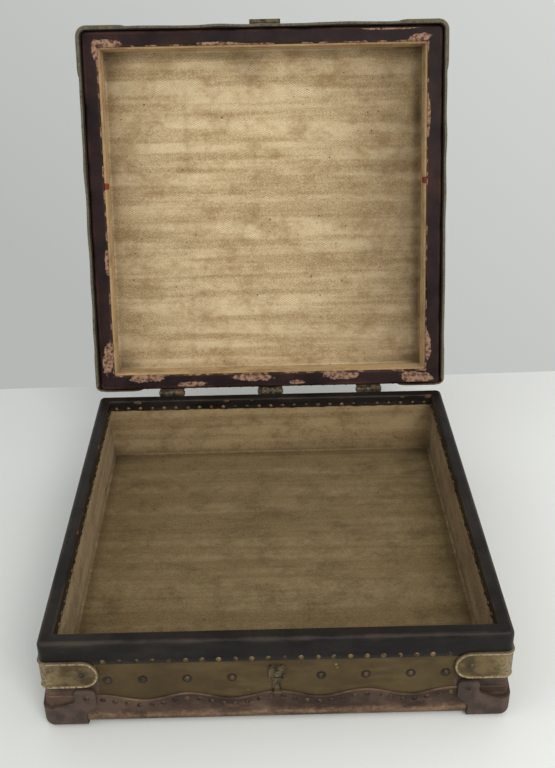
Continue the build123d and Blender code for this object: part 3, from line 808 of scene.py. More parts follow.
@dataclass
class EdgeLeather:
    """Scalloped leather round a tray's bottom edge, folded under it."""

    tray: Tray
    finish: bpy.types.Material
    under: float = 1.6 * MM
    reach: float = 26 * MM

    def profile(self, spot: Spot) -> list[Section]:
        """The leather's section at a spot.

        Args:
            spot: where on the outline.

        Returns:
            The section's points, in order.
        """
        tray = self.tray
        crest = tray.wave(spot)
        low = -tray.depth - self.under
        at = tray.outline.point(spot, 0)
        swell = wobble(at.x, at.y, scale=40, seed=1.0) * 0.25 * MM
        edge = tray.edge
        height = crest - low

        def up(share: float) -> float:
            """Height at a share of the leather's."""
            return low + share * height

        return [
            Section(0.05 * MM, crest - 0.5 * MM, {"edge": 0.4}),
            Section(0.3 * MM, crest - 0.05 * MM, {"edge": 0.6}),
            Section(edge - 0.7 * MM, crest + 0.1 * MM, {"edge": 0.7}),
            Section(edge, crest - 0.8 * MM, {"edge": 0.5}),
            Section(edge - 0.15 * MM, crest - 2.2 * MM, {"grime_and_shade": 0.6}),
            Section(edge, crest - 4.5 * MM, {"grime_and_shade": 0.3}),
            Section(edge, up(0.66)),
            Section(edge + swell * 0.5, up(0.5), {"bare": 0.5}),
            Section(edge + swell * 0.4, up(0.36), {"bare": 0.75}),
            Section(edge + swell * 0.3, up(0.24), {"bare": 0.9}),
            Section(edge - 0.1 * MM, low + 3.4 * MM, {"bare": 0.7, "edge": 0.6}),
            Section(edge - 0.9 * MM, low + 1.2 * MM, {"edge": 0.9}),
            Section(edge - 2.6 * MM, low + 0.1 * MM, {"edge": 0.9}),
            Section(-3 * MM, low, {"edge": 0.4}),
            Section(-self.reach * 0.6, low),
            Section(-self.reach, low + 0.1 * MM, {"edge": 0.5}),
            Section(-self.reach, -tray.depth + 0.02 * MM),
            Section(-0.3 * MM, -tray.depth + 0.02 * MM),
            Section(0.05 * MM, -tray.depth + 0.6 * MM),
            Section(0.05 * MM, crest - 0.5 * MM, {"edge": 0.4}),
        ]

    def build(self) -> bpy.types.Object:
        """Sweeps the leather round the bottom edge.

        Returns:
            The piece.
        """
        mesh = sweep(self.tray.outline, self.tray.outline.round(120, 7), self.profile)
        return Piece(f"{self.tray.body}_scalloped_leather", self.tray.body, "edge_leather", self.finish,
                     (f"{self.tray.body}_edge_binding",)).make(mesh, self.tray.frame)


@dataclass
class Clamp:
    """Pressed brass strip round one upright corner, with a beaded border and round ends."""

    tray: Tray
    side: Side  # the wall before the corner
    seat: tuple[float, float]  # offsets of what it lies on, before and after the corner
    reach: float = 52 * MM
    sheet: float = 1.4 * MM
    bead: float = 0.9 * MM

    def spots(self) -> list[tuple[Spot, float]]:
        """The way along the strip.

        Returns:
            Spots from one round end to the other, each with its distance to the nearer end.
        """
        half = self.tray.clamp_height / 2
        steps = [half * (1 - math.cos(k / 9 * math.pi / 2)) for k in range(10)]
        flat_part = self.reach - half - self.tray.outline.radius
        steps += [half + flat_part * (k + 1) / 7 for k in range(7)]
        return self.tray.outline.corner(self.side, self.reach, steps, 8)

    def mesh(self) -> bmesh.types.BMesh:
        """Presses the strip.

        Returns:
            The mesh, in the tray's frame.
        """
        half = self.tray.clamp_height / 2
        drop = self.tray.back_clamp_drop if self.side in (Side.RIGHT, Side.BACK) else 0.0
        middle = self.tray.clamp_top - drop - half
        rows = 22
        way = self.spots()
        mesh, found, layers = grid(len(way) - 1, rows)
        low_seat, high_seat = self.seat
        for vertex, column, row in found:
            spot, end = way[column]
            rise = half if end >= half else math.sqrt(max(half**2 - (half - end) ** 2, 0.0))
            across = math.sin((row / rows - 0.5) * math.pi)
            z = rise * across
            past = max(half - end, 0.0)
            border = half - math.hypot(past, z)
            share = (column / (len(way) - 1) - 0.5) * 9 + 0.5
            seat = low_seat + (high_seat - low_seat) * min(max(share, 0.0), 1.0)
            bead = math.sin(min(border / (3 * MM), 1.0) * math.pi) * self.bead
            lift = min(border / (0.5 * MM), 1.0) * self.sheet
            at = self.tray.outline.point(spot, 0)
            dent = wobble(at.x, at.y, z, scale=70, seed=3.0) * 0.25 * MM * min(border / (4 * MM), 1.0)
            vertex.co = self.tray.outline.point(spot, seat + max(lift + bead + dent, 0.02 * MM))
            vertex.co.z = middle + z
            corner = max(0.0, 1 - max(self.reach - end, 0.0) / (22 * MM))
            nail = math.hypot(end - half, z)
            vertex[layers["edge"]] = max(bead / self.bead * 0.9, corner * 0.4)
            vertex[layers["grime_and_shade"]] = min(1.0, 1.5 * max(0.0, 1 - nail / (8.5 * MM)) + 0.6 * (0.8 * MM > border)
                                          + 0.4 * (3 * MM < border < 4.6 * MM))
        bmesh.ops.remove_doubles(mesh, verts=mesh.verts, dist=1e-6)
        return thickened(mesh, self.tray.outline.point(way[len(way) // 2][0], 1.0), 0.5 * MM)


def joined(meshes: list[bmesh.types.BMesh]) -> bmesh.types.BMesh:
    """Several meshes as one.

    Args:
        meshes: the parts, which are freed.

    Returns:
        The whole.
    """
    whole = bmesh.new()
    for mesh in meshes:
        data = bpy.data.meshes.new("part")
        mesh.to_mesh(data)
        mesh.free()
        whole.from_mesh(data)
        bpy.data.meshes.remove(data)
    return whole


@dataclass
class WallCloth:
    """Lining glued on a tray's four walls."""

    tray: Tray
    finish: bpy.types.Material
    thick: float
    shade: dict[Side, float] = field(default_factory=dict)  # painted shade on whole walls that face away from the light, added to the mark

    def build(self) -> bpy.types.Object:
        """Sweeps the cloth round the inside.

        Returns:
            The piece.
        """
        tray = self.tray
        top, low = -1.3 * MM, tray.floor
        heights = [top, -2.4 * MM, -3.2 * MM, -4.2 * MM, -5.6 * MM]
        heights += [heights[-1] + (low - heights[-1]) * k / 11 for k in range(1, 12)]
        last = len(heights) - 1

        def profile(spot: Spot) -> list[Section]:
            """The cloth's section at a spot.

            Args:
                spot: where on the outline.

            Returns:
                The points of its face, top first, and then of its back.
            """
            at = tray.outline.point(spot, tray.face)
            near = tray.outline.halves(spot.side)[0] - abs(tray.outline.along(spot))
            corner = max(0.0, 1 - near / (26 * MM))
            inner = []
            for k, z in enumerate(heights):
                slack = wobble(at.x, at.y, z, scale=22, seed=5.0) * 0.35 * MM + wobble(
                    at.x, at.y, z, scale=90, seed=8.0) * 0.12 * MM
                slack *= math.sin(math.pi * k / last)
                # darker at the foot, in the corners and just under the rim: painted shade where the walls meet the
                # floor, each other and the rim leather
                grime_and_shade = 0.7 * (k == last) + 0.3 * (k == last - 1) + 0.3 * corner + 0.2 * (k < 4)
                grime_and_shade += self.shade.get(spot.side, 0.0)
                inner.append(Section(tray.wall_face(z) - 0.02 * MM + min(slack, 0.3 * MM), z, {"grime_and_shade": grime_and_shade}))
            back = [Section(-tray.core + self.thick * 0.8, z) for z in (low, top)]
            return [*inner, *back, inner[0]]

        spots = tray.outline.round(70, 3)
        mesh = sweep(tray.outline, spots, profile)
        piece = Piece(f"{tray.body}_wall_cloth", tray.body, "twill", self.finish,
                      (f"{tray.body}_wall_lining",)).make(mesh, tray.frame)
        round_about = 4 * (tray.outline.half_x + tray.outline.half_y) + 8 * tray.face
        return piece


@dataclass
class FloorCloth:
    """Lining glued on a tray's bottom, its edges pushed up a little against the walls."""

    tray: Tray
    finish: bpy.types.Material
    cad: str
    pad: float
    sag: float = 0.5 * MM
    creases: tuple[float, ...] = ()
    rim_shade: float = 0.8
    stains_and_shade: tuple[tuple[float, float, float, float, float], ...] = ()  # x, y, their reaches and how dark: stains, and bands of painted shade

    def build(self) -> bpy.types.Object:
        """Lays the cloth on the bottom.

        Returns:
            The piece.
        """
        tray = self.tray
        half_x, half_y = tray.outline.half_x + tray.face, tray.outline.half_y + tray.face
        mesh, found, layers = grid(96, 96)
        for vertex, column, row in found:
            u, v = math.sin((column / 96 - 0.5) * math.pi), math.sin((row / 96 - 0.5) * math.pi)
            x, y = u * half_x, v * half_y
            near = min(half_x - abs(x), half_y - abs(y))
            lip = max(0.0, 1 - near / (5 * MM))
            slack = (wobble(x, y, scale=9, seed=6.0) + 0.5 * wobble(x, y, scale=30, seed=9.0)) * self.sag
            slack *= min(near / (25 * MM), 1.0)
            line = sum(max(0.0, 1 - abs(x - c - 2 * MM * wobble(y, scale=8, seed=c * 50)) / (2.5 * MM))
                       for c in self.creases)
            vertex.co = (x, y, tray.floor + min(slack, 0.6 * MM) + lip**2 * 1.6 * MM - 0.5 * MM * line)
            # painted shade: darker in the corners, along the creases and near the walls; the stains_and_shade
            # spots add stains and painted shade
            corner = max(0.0, 1 - math.hypot(half_x - abs(x), half_y - abs(y)) / (38 * MM))
            darkening = sum(amount * math.exp(-((x - at_x) / reach_x)**2 - ((y - at_y) / reach_y)**2)
                       for at_x, at_y, reach_x, reach_y, amount in self.stains_and_shade)
            rim = self.rim_shade * max(0.0, 1 - near / (13 * MM)) * (lip < 0.5)
            vertex[layers["grime_and_shade"]] = min(1.0, rim + corner * 0.6 + 0.45 * line + darkening)
            vertex[layers["edge"]] = lip
        thickened(mesh, Vector((0, 0, 1)), self.pad)
        piece = Piece(f"{tray.body}_bottom_cloth", tray.body, "twill", self.finish, (self.cad,)).make(
            mesh, tray.frame)
        2 * half_x
        2 * half_y
        return piece


@dataclass
class Valance:
    """Wavy strip of stiff fibre round the lid's front and sides."""

    tray: Tray
    finish: bpy.types.Material
    inner: float = 2.4 * MM
    thick: float = 3.0 * MM
    top: float = -15 * MM
    lip: float = 8 * MM

    def profile(self, spot: Spot) -> list[Section]:
        """The strip's section at a spot.

        Args:
            spot: where on the outline.

        Returns:
            The section's points, in order.
        """
        outline = self.tray.outline
        half = outline.halves(spot.side)[0]
        at = outline.point(spot, 0)
        free = max(0.0, min(1.0, (half - 52 * MM - abs(outline.along(spot))) / (14 * MM)))
        sway = max(wobble(at.x, at.y, scale=26, seed=12.0) * 1.3 * MM, -0.3 * MM) * free
        ragged = (wobble(at.x, at.y, scale=34, seed=15.0) * 0.9 - 0.3) * MM * free
        lip = self.lip + ragged
        inner, outer = self.inner, self.inner + self.thick
        return [
            Section(inner, self.top),
            Section(outer - 0.4 * MM, self.top, {"edge": 0.5}),
            Section(outer, self.top + 0.6 * MM, {"edge": 0.4}),
            Section(outer, -4 * MM),
            Section(outer + sway * 0.5, 2 * MM),
            Section(outer + sway, lip - 1.0 * MM, {"edge": 0.5}),
            Section(outer + sway - 0.6 * MM, lip, {"edge": 0.9}),
            Section(outer + sway - 1.6 * MM, lip - 0.3 * MM, {"edge": 0.4}),
            Section(inner + sway + 0.3 * MM, lip - 0.1 * MM, {"edge": 0.8}),
            Section(inner + sway, lip - 0.9 * MM, {"edge": 0.3}),
            # inner face darker towards the rim leather: painted shade in the gap between the strip and the rim
            Section(inner + max(sway * 0.5, 0), 2 * MM, {"grime_and_shade": 0.6}),
            Section(inner, -4 * MM, {"grime_and_shade": 0.8}),
            Section(inner, self.top),
        ]

    def build(self) -> bpy.types.Object:
        """Sweeps the strip from the back of one side to the back of the other.

        Returns:
            The piece.
        """
        spots = self.tray.outline.round(110, 9, (Side.LEFT, Side.FRONT, Side.RIGHT))
        mesh = sweep(self.tray.outline, spots, self.profile)
        bmesh.ops.holes_fill(mesh, edges=[e for e in mesh.edges if e.is_boundary])
        bmesh.ops.recalc_face_normals(mesh, faces=mesh.faces)
        return Piece("lid_fibre_valance", self.tray.body, "valance_fibre", self.finish, ("lid_valance",)).make(
            mesh, self.tray.frame)


@dataclass
class CanvasSkin:
    """Painted canvas stretched over a tray's walls and bottom."""

    tray: Tray
    finish: bpy.types.Material
    thick: float = 0.8 * MM
    top: float = -1.8 * MM
    fold: float = 1.2 * MM

    def wall(self, spot: Spot) -> list[Section]:
        """The canvas's section on a wall, down to its fold under the bottom.

        Args:
            spot: where on the outline.

        Returns:
            The section's points, in order.
        """
        at = self.tray.outline.point(spot, 0)
        low = -self.tray.depth
        outer = []
        for k in range(9):
            z = self.top + (low + self.fold - self.top) * k / 8
            slack = (wobble(at.x, at.y, z, scale=30, seed=21.0) - 0.6) * 0.18 * MM * math.sin(math.pi * k / 8)
            outer.append(Section(min(slack, 0.0), z))
        outer += [Section(-0.3 * self.fold, low + 0.3 * self.fold), Section(-self.fold, low)]
        inner = [Section(-self.fold, low + self.thick), Section(-self.thick, low + self.fold),
                 Section(-self.thick, self.top)]
        return [*outer, *inner, outer[0]]

    def bottom(self) -> bmesh.types.BMesh:
        """The canvas across the bottom.

        Returns:
            The mesh, in the tray's frame.
        """
        outline = self.tray.outline
        mesh, found, _ = grid(60, 60)
        for vertex, _, _ in found:
            x = vertex.co.x * (outline.half_x - self.fold)
            y = vertex.co.y * (outline.half_y - self.fold)
            near = min(outline.half_x - abs(x), outline.half_y - abs(y))
            slack = (wobble(x, y, scale=14, seed=23.0) + 1) * 0.2 * MM * min(near / (30 * MM), 1.0)
            vertex.co = (x, y, -self.tray.depth + slack)
        return thickened(mesh, Vector((0, 0, -1)), self.thick * 0.5)

    def build(self) -> bpy.types.Object:
        """Wraps the tray.

        Returns:
            The piece.
        """
        tray = self.tray
        walls = sweep(tray.outline, tray.outline.round(60, 6), self.wall)
        piece = Piece(f"{tray.body}_canvas_skin", tray.body, "canvas", self.finish,
                      (f"{tray.body}_canvas_cover",)).make(joined([walls, self.bottom()]), tray.frame)
        wide, long = (2 * (half + tray.depth) for half in (tray.outline.half_x, tray.outline.half_y))
        wide * long - 4 * tray.depth**2
        return piece


@dataclass
class CornerPatches:
    """Leather wrapped round a tray's upright corners, its edges pared thin."""

    tray: Tray
    finish: bpy.types.Material
    thick: float = 1.0 * MM
    pared: float = 2.2 * MM

    def mesh(self, side: Side) -> bmesh.types.BMesh:
        """One patch.

        Args:
            side: the wall before its corner.

        Returns:
            The mesh, in the tray's frame.
        """
        tray, outline = self.tray, self.tray.outline
        high, low = -tray.band_drop, tray.wave(Spot(side, 1.0))
        flat_part = tray.patch - outline.radius
        steps = [0.0, 0.3 * MM, 1.0 * MM, 2.2 * MM]
        steps += [self.pared + (flat_part - self.pared) * (k + 1) / 9 for k in range(9)]
        way = outline.corner(side, tray.patch, steps, 6)
        rows = 14
        mesh, found, layers = grid(len(way) - 1, rows)
        for vertex, column, row in found:
            spot, end = way[column]
            z = low + (high - low) * row / rows
            lift = self.thick * math.sin(min(end / self.pared, 1.0) * math.pi / 2)
            at = outline.point(spot, 0)
            dent = max(wobble(at.x, at.y, z, scale=60, seed=31.0) - 0.1, 0.0) * 0.35 * MM
            vertex.co = outline.point(spot, max(lift - dent, 0.03 * MM))
            vertex.co.z = z
            turned = 1 - min(max(flat_part - end, 0.0) / (9 * MM), 1.0)
            vertex[layers["edge"]] = max(0.8 * turned, 0.7 * (end < 1.2 * MM))
        return thickened(mesh, outline.point(way[len(way) // 2][0], 1.0), 0.4 * MM)

    def build(self) -> bpy.types.Object:
        """Wraps all four corners."""
        return Piece(f"{self.tray.body}_corner_patches", self.tray.body, "corner_leather", self.finish,
                     (f"{self.tray.body}_corner_leathers",)).make(
            joined([self.mesh(side) for side in Side]), self.tray.frame)


@dataclass
class TapeEnds:
    """Torn ends of two stay tapes on the lid's side walls."""

    tray: Tray
    finish: bpy.types.Material
    along: float = -37 * MM
    width: float = 8 * MM
    top: float = -2.6 * MM
    length: float = 15 * MM
    thick: float = 0.7 * MM

    def mesh(self, side: Side, middle: float) -> bmesh.types.BMesh:
        """One torn end.

        Args:
            side: the wall that it is glued on.
            middle: how far along the wall.

        Returns:
            The mesh, in the tray's frame.
        """
        outline = self.tray.outline
        mesh, found, layers = grid(10, 14)
        for vertex, column, row in found:
            down = 1 - row / 14
            across = (column / 10 - 0.5) * self.width * (1 - 0.25 * down)
            fray = wobble(column * 0.9, scale=1.0, seed=41.0) * 3.5 * MM * down
            z = self.top - self.length * down + fray
            curl = 0.9 * MM * max(down - 0.6, 0.0) + 0.2 * MM * wobble(across, z, scale=180, seed=43.0)
            seat = self.tray.wall_face(z) - 0.4 * MM
            vertex.co = outline.point(Spot(side, 0, 0, middle + across), seat - max(curl, 0.0) - self.thick)
            vertex.co.z = z
            vertex[layers["edge"]] = 0.6 * down
        bmesh.ops.recalc_face_normals(mesh, faces=mesh.faces)
        bmesh.ops.solidify(mesh, geom=mesh.faces[:], thickness=self.thick)
        bmesh.ops.recalc_face_normals(mesh, faces=mesh.faces)
        return mesh

    def build(self) -> bpy.types.Object:
        """Glues both ends on.

        Returns:
            The piece.
        """
        meshes = [self.mesh(Side.LEFT, -self.along), self.mesh(Side.RIGHT, self.along)]
        piece = Piece("lid_torn_tapes", self.tray.body, "tape", self.finish, ("lid_stay_tapes",)).make(
            joined(meshes), self.tray.frame)
        2 * self.width
        return piece


@dataclass
class Handle:
    """Stitched leather grip between two loops that turn on the brackets' pins."""

    pivot: Vector
    finish: bpy.types.Material
    half: float = 72 * MM
    arm: float = 30 * MM
    loop_wide: float = 11.4 * MM
    loop_thick: float = 5 * MM
    eye: float = 6 * MM
    grip_deep: float = 16 * MM
    grip_thick: float = 12 * MM

    def grip(self) -> bmesh.types.BMesh:
        """The padded grip, fuller in its middle.

        Returns:
            The mesh, about the pins' line.
        """
        long = self.half + self.loop_wide / 2
        mesh, found, layers = grid(64, 24)
        for vertex, column, row in found:
            along = -math.cos(column / 64 * math.pi)
            angle = row / 24 * 2 * math.pi
            full = (1 - abs(along) ** 8) ** 0.5 * (0.86 + 0.14 * math.cos(along * math.pi / 2))
            across, up = math.sin(angle), math.cos(angle)
            square = (abs(across) ** 3 + abs(up) ** 3) ** (-1 / 3)
            seam = 0.5 * MM * math.exp(-((abs(across) - 0.55) / 0.12) ** 2) * (up < 0)
            wrinkle = wobble(along * long, angle * MM, scale=150, seed=51.0) * 0.2 * MM
            y = across * square * (self.grip_thick / 2 - 0.3 * MM + wrinkle - seam) * full
            z = up * square * (self.grip_deep / 2 - 0.3 * MM + wrinkle - seam) * full
            vertex.co = (along * long, y, -self.arm + z)
            vertex[layers["edge"]] = 0.8 * (abs(up) > 0.85) + 0.3 * (abs(along) > 0.9)
        bmesh.ops.remove_doubles(mesh, verts=mesh.verts, dist=1e-6)
        bmesh.ops.recalc_face_normals(mesh, faces=mesh.faces)
        return mesh

    def loop(self, x: float) -> bmesh.types.BMesh:
        """One strap from the grip round its pin.

        Args:
            x: the middle of its width.

        Returns:
            The mesh, about the pins' line.
        """
        mesh, _ = marked()
        size = (self.loop_wide, self.loop_thick, self.arm)
        made = bmesh.ops.create_cube(mesh, size=1.0)["verts"]
        bmesh.ops.scale(mesh, vec=size, verts=made)
        bmesh.ops.translate(mesh, vec=(x, 0, -self.arm / 2), verts=made)
        eye = bmesh.ops.create_cone(mesh, cap_ends=True, segments=32, radius1=self.eye, radius2=self.eye,
                                    depth=self.loop_wide)["verts"]
        bmesh.ops.rotate(mesh, matrix=Matrix.Rotation(math.pi / 2, 3, "Y"), verts=eye)
        bmesh.ops.translate(mesh, vec=(x, 0, 0), verts=eye)
        rims = [e for e in mesh.edges if e.calc_face_angle(0.0) > 0.9]
        bmesh.ops.bevel(mesh, geom=rims, offset=0.9 * MM, segments=3, profile=0.5, affect="EDGES", material=-1)
        return mesh

    def stitches(self) -> bmesh.types.BMesh:
        """Two rows of stitches along the seam.

        Returns:
            The mesh, about the pins' line.
        """
        mesh, layers = marked()
        for side in (-1, 1):
            for k in range(27):
                x = (k - 13) * 4.6 * MM
                made = bmesh.ops.create_uvsphere(mesh, u_segments=8, v_segments=5, radius=1.0)["verts"]
                bmesh.ops.scale(mesh, vec=(1.6 * MM, 0.45 * MM, 0.45 * MM), verts=made)
                place = (x, side * self.grip_thick * 0.33, -self.arm - self.grip_deep * 0.462)
                bmesh.ops.translate(mesh, vec=place, verts=made)
                for vertex in made:
                    vertex[layers["edge"]] = 1.0
        return mesh

    def build(self) -> bpy.types.Object:
        """Sews the handle."""
        loops = [self.loop(x) for x in (-self.half, self.half)]
        return Piece("leather_handle", "handle", "handle_leather", self.finish, ("handle",)).make(
            joined([self.grip(), *loops, self.stitches()]), Matrix.Translation(self.pivot))


@dataclass
class Studio:
    """Pale floor, soft lights and the camera, set out from the middle of the box."""

    middle: float  # y of the base's middle
    table_half: float = 2.2
    table_front: float = -2.6
    table_behind: float = 0.4358  # its far edge, from the middle
    table_slant: float = 0.045  # of the far edge
    lens: float = 47.27
    eye: tuple[float, float, float] = (-0.0001, -0.894, 0.759)  # from the middle of the base
    turned: float = -0.48  # degrees about the upright
    looking_down: float = 29.93  # degrees under the level
    rolled: float = -1.04  # degrees about the line of sight

    def floor(self) -> None:
        """A pale table top whose far edge shows behind the box."""
        mesh = bmesh.new()
        bmesh.ops.create_grid(mesh, x_segments=1, y_segments=1, size=1.0)
        for vertex in mesh.verts:
            far = vertex.co.y > 0
            back = self.middle + self.table_behind + vertex.co.x * self.table_slant
            vertex.co = (vertex.co.x * self.table_half, back if far else self.table_front, 0)
        data = bpy.data.meshes.new("table_top")
        mesh.to_mesh(data)
        mesh.free()
        top = bpy.data.objects.new("table_top", data)
        bpy.context.scene.collection.objects.link(top)
        kit = Kit("table_top")
        # painted light: the table top is lighter towards the right, where the key light falls
        across = kit.axis(kit.place(), 0).rises(-0.45, 0.60)
        pale = kit.blend(across, (0.70, 0.71, 0.695), (0.88, 0.88, 0.86))
        data.materials.append(kit.close(pale, 0.7, None, Specular_IOR_Level=0.2))

    def light(self, name: str, place: Iterable[float], aim: Iterable[float], size: float, power: float,
              colour: Colour = (1, 1, 1)) -> None:
        """Adds a square soft light.

        Args:
            name: the light's name.
            place: where it is.
            aim: what it faces.
            size: its width.
            power: watts.
            colour: its colour.
        """
        data = bpy.data.lights.new(name, "AREA")
        data.shape, data.size, data.energy, data.color = "SQUARE", size, power, colour
        lamp = bpy.data.objects.new(name, data)
        lamp.location = place
        lamp.rotation_euler = (Vector(aim) - Vector(place)).to_track_quat("-Z", "Y").to_euler()
        bpy.context.scene.collection.objects.link(lamp)

    def sky(self) -> None:
        """Pale grey room behind and around."""
        world = bpy.data.worlds.new("room")
        world.use_nodes = True
        bpy.context.scene.world = world
        nodes, links = world.node_tree.nodes, world.node_tree.links
        ways = nodes.new("ShaderNodeTexCoord")
        level = nodes.new("ShaderNodeVectorMath")
        level.operation = "DOT_PRODUCT"
        level.inputs[1].default_value = (0.9, 0.0, 1.1)
        ramp = nodes.new("ShaderNodeMapRange")
        ramp.inputs["From Min"].default_value, ramp.inputs["From Max"].default_value = -0.62, 0.22
        room = nodes.new("ShaderNodeMix")
        room.data_type = "RGBA"
        room.inputs[6].default_value, room.inputs[7].default_value = ((*tone(181, 184, 180), 1),
                                                                      (*tone(216, 218, 216), 1))
        links.new(ways.outputs["Generated"], level.inputs[0])
        links.new(level.outputs["Value"], ramp.inputs["Value"])
        links.new(ramp.outputs["Result"], room.inputs[0])
        links.new(room.outputs[2], nodes["Background"].inputs["Color"])
        nodes["Background"].inputs["Strength"].default_value = 1.0

    def camera(self) -> None:
        """The camera, in front of the box and above it."""
        data = bpy.data.cameras.new("camera")
        data.sensor_width, data.lens = 36.0, self.lens
        camera = bpy.data.objects.new("camera", data)
        turn = (Matrix.Rotation(math.radians(self.turned), 4, "Z")
                @ Matrix.Rotation(math.radians(90 - self.looking_down), 4, "X")
                @ Matrix.Rotation(math.radians(self.rolled), 4, "Z"))
        x, y, z = self.eye
        camera.matrix_world = Matrix.Translation((x, self.middle + y, z)) @ turn
        bpy.context.scene.collection.objects.link(camera)
        bpy.context.scene.camera = camera

    def build(self) -> None:
        """Sets everything up."""
        view = bpy.context.scene.view_settings
        view.view_transform, view.look = "Standard", "None"
        self.floor()
        self.sky()
        self.light("key", (0.75, -1.9, 1.6), (0, 0, 0.15), 1.0, 27.0, (1.0, 0.985, 0.96))
        self.light("fill", (-1.3, -0.8, 1.1), (0, 0, 0.2), 1.2, 5.0, (0.96, 0.98, 1.0))
        self.camera()


class HatBox:
    """The whole box: finishes, trays and hardware."""

    def __init__(self, frame: dict) -> None:
        """Works out the trays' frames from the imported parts.
        """
        self.nodes = frame["nodes"]
        self.slots = {part["node"]: part["material_slot"] for part in frame["record"]["subparts"]}
        joints = {joint["name"]: joint for joint in frame["joints"]}
        low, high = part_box("base_canvas_cover")
        centre = (low + high) / 2
        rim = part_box("base_rim_binding")[1].z
        outline = Outline((high.x - low.x) / 2, (high.y - low.y) / 2, 5 * MM)
        base_frame = Matrix.Translation((0, centre.y, rim))
        hinge = Matrix.Translation(joints["lid_hinge"]["pos_m"])
        opened = Matrix.Rotation(-math.radians(joints["lid_hinge"]["range_deg"][1]), 4, "X")
        closed = Matrix.Translation((0, centre.y, rim + 0.5 * MM)) @ Matrix.Diagonal((1, 1, -1, 1))
        lid_frame = hinge @ opened @ hinge.inverted() @ closed
        self.base = Tray("base", base_frame, outline, depth=97.9 * MM, core=11.0 * MM, turn=1.4 * MM,
                         band_drop=26.5 * MM, floor=-81.1 * MM, edge_height=28.6 * MM, swing=4 * MM,
                         clamp_top=-22 * MM, clamp_height=32 * MM)
        self.lid = Tray("lid", lid_frame, outline, depth=47 * MM, core=13.8 * MM, turn=3.4 * MM,
                        band_drop=14 * MM, floor=-37.7 * MM, edge_height=14 * MM, swing=2 * MM,
                        clamp_top=5 * MM, clamp_height=26 * MM, collar=5.4 * MM, back_clamp_drop=6 * MM)
        self.handle_pivot = Vector(joints["handle_hinge"]["pos_m"])
        self.finish: dict[str, bpy.types.Material] = {}

    def finishes(self) -> None:
        """Builds every finish, by the slot that it belongs to."""
        base, lid = self.base.frame, self.lid.frame
        made = [
            Timber("wood", tone(150, 122, 84), tone(122, 94, 60)),
            Canvas("canvas", tone(66, 53, 32), tone(82, 67, 42), tone(100, 84, 54)),
            Lining("twill", lid, tone(206, 183, 144), tone(158, 133, 97), tone(142, 110, 70),
                   band=0.42, soil=0.8, painted_glint=0.5),
            Lining("lid_wall_twill", lid, tone(196, 166, 120), tone(158, 128, 86), tone(128, 98, 60),
                   flat=False),
            Lining("base_floor_twill", base, tone(134, 115, 81), tone(104, 87, 58), tone(84, 68, 43),
                   band=0.14, soil=0.9, shift=3.0),
            Lining("base_wall_twill", base, tone(158, 136, 100), tone(126, 105, 74), tone(98, 77, 50),
                   flat=False, band=0.35, soil=0.8, shift=5.0),
            # its scuff colour on the rim's outer fold is partly wear and partly a painted highlight line
            Leather("black_leather", tone(17, 14, 12), tone(28, 24, 21), tone(64, 55, 48), tone(98, 74, 56),
                    rough=0.40, wear=0.2, shine=0.16, frame=base),
            Leather("purple_leather", tone(22, 9, 11), tone(35, 20, 22), tone(80, 54, 46), tone(158, 124, 102),
                    rough=0.48, wear=0.3, torn_edge=0.16, frame=lid),
            Leather("edge_leather", tone(52, 39, 33), tone(84, 66, 55), tone(126, 101, 80), tone(150, 122, 95),
                    rough=0.58, wear=0.5, torn_edge=1.2, frame=base),
            Leather("corner_leather", tone(50, 38, 33), tone(74, 59, 51), tone(108, 88, 74), tone(118, 92, 74),
                    frame=base),
            Leather("handle_leather", tone(44, 32, 26), tone(70, 50, 38), tone(112, 84, 60), tone(128, 96, 68)),
            Brass("dark_metal", tone(56, 43, 36), tone(82, 65, 55), tone(150, 132, 112),
                  metal=0.25, rough=0.5, spots=60.0),
            Brass("valance_fibre", tone(46, 42, 33), tone(68, 62, 48), tone(112, 104, 84),
                  metal=0.0, rough=0.6, spots=60.0),
            Brass("dark_washers", tone(38, 30, 23), tone(56, 46, 34), tone(120, 104, 74),
                  metal=0.5, rough=0.5, spots=90.0),
            Brass("tack_brass", tone(46, 37, 28), tone(118, 99, 69), tone(214, 198, 158),
                  metal=0.75, rough=0.34, spots=90.0, share=0.50),
            Brass("brass", tone(76, 60, 34), tone(112, 94, 62), tone(190, 172, 136),
                  metal=0.6, rough=0.38, spots=80.0),
            Brass("old_brass", tone(50, 41, 29), tone(104, 90, 64), tone(150, 132, 96),
                  metal=0.55, rough=0.4, spots=150.0),
            Brass("nail_brass", tone(40, 31, 23), tone(86, 70, 48), tone(150, 132, 96),
                  metal=0.6, rough=0.36, spots=120.0),
            Leather("tape", tone(110, 48, 34), tone(138, 62, 44), tone(160, 96, 70), tone(170, 110, 84),
                    rough=0.8),
        ]
        self.finish = {finish.name: finish.material() for finish in made}

    def dress(self) -> None:
        """Gives every fixed part the finish of its slot."""
        for name, node in self.nodes.items():
            slot = self.slots[name]
            node.data.materials.clear()
            aged = slot == "brass" and name.startswith(("hasp", "hinge", "catch"))
            tarnished = name in ("base_edge_tacks", "base_canvas_nails", "base_corner_nails")
            finish = "old_brass" if aged else "nail_brass" if tarnished else slot
            node.data.materials.append(self.finish[finish])
            LOG.info("%s: %s", name, slot)

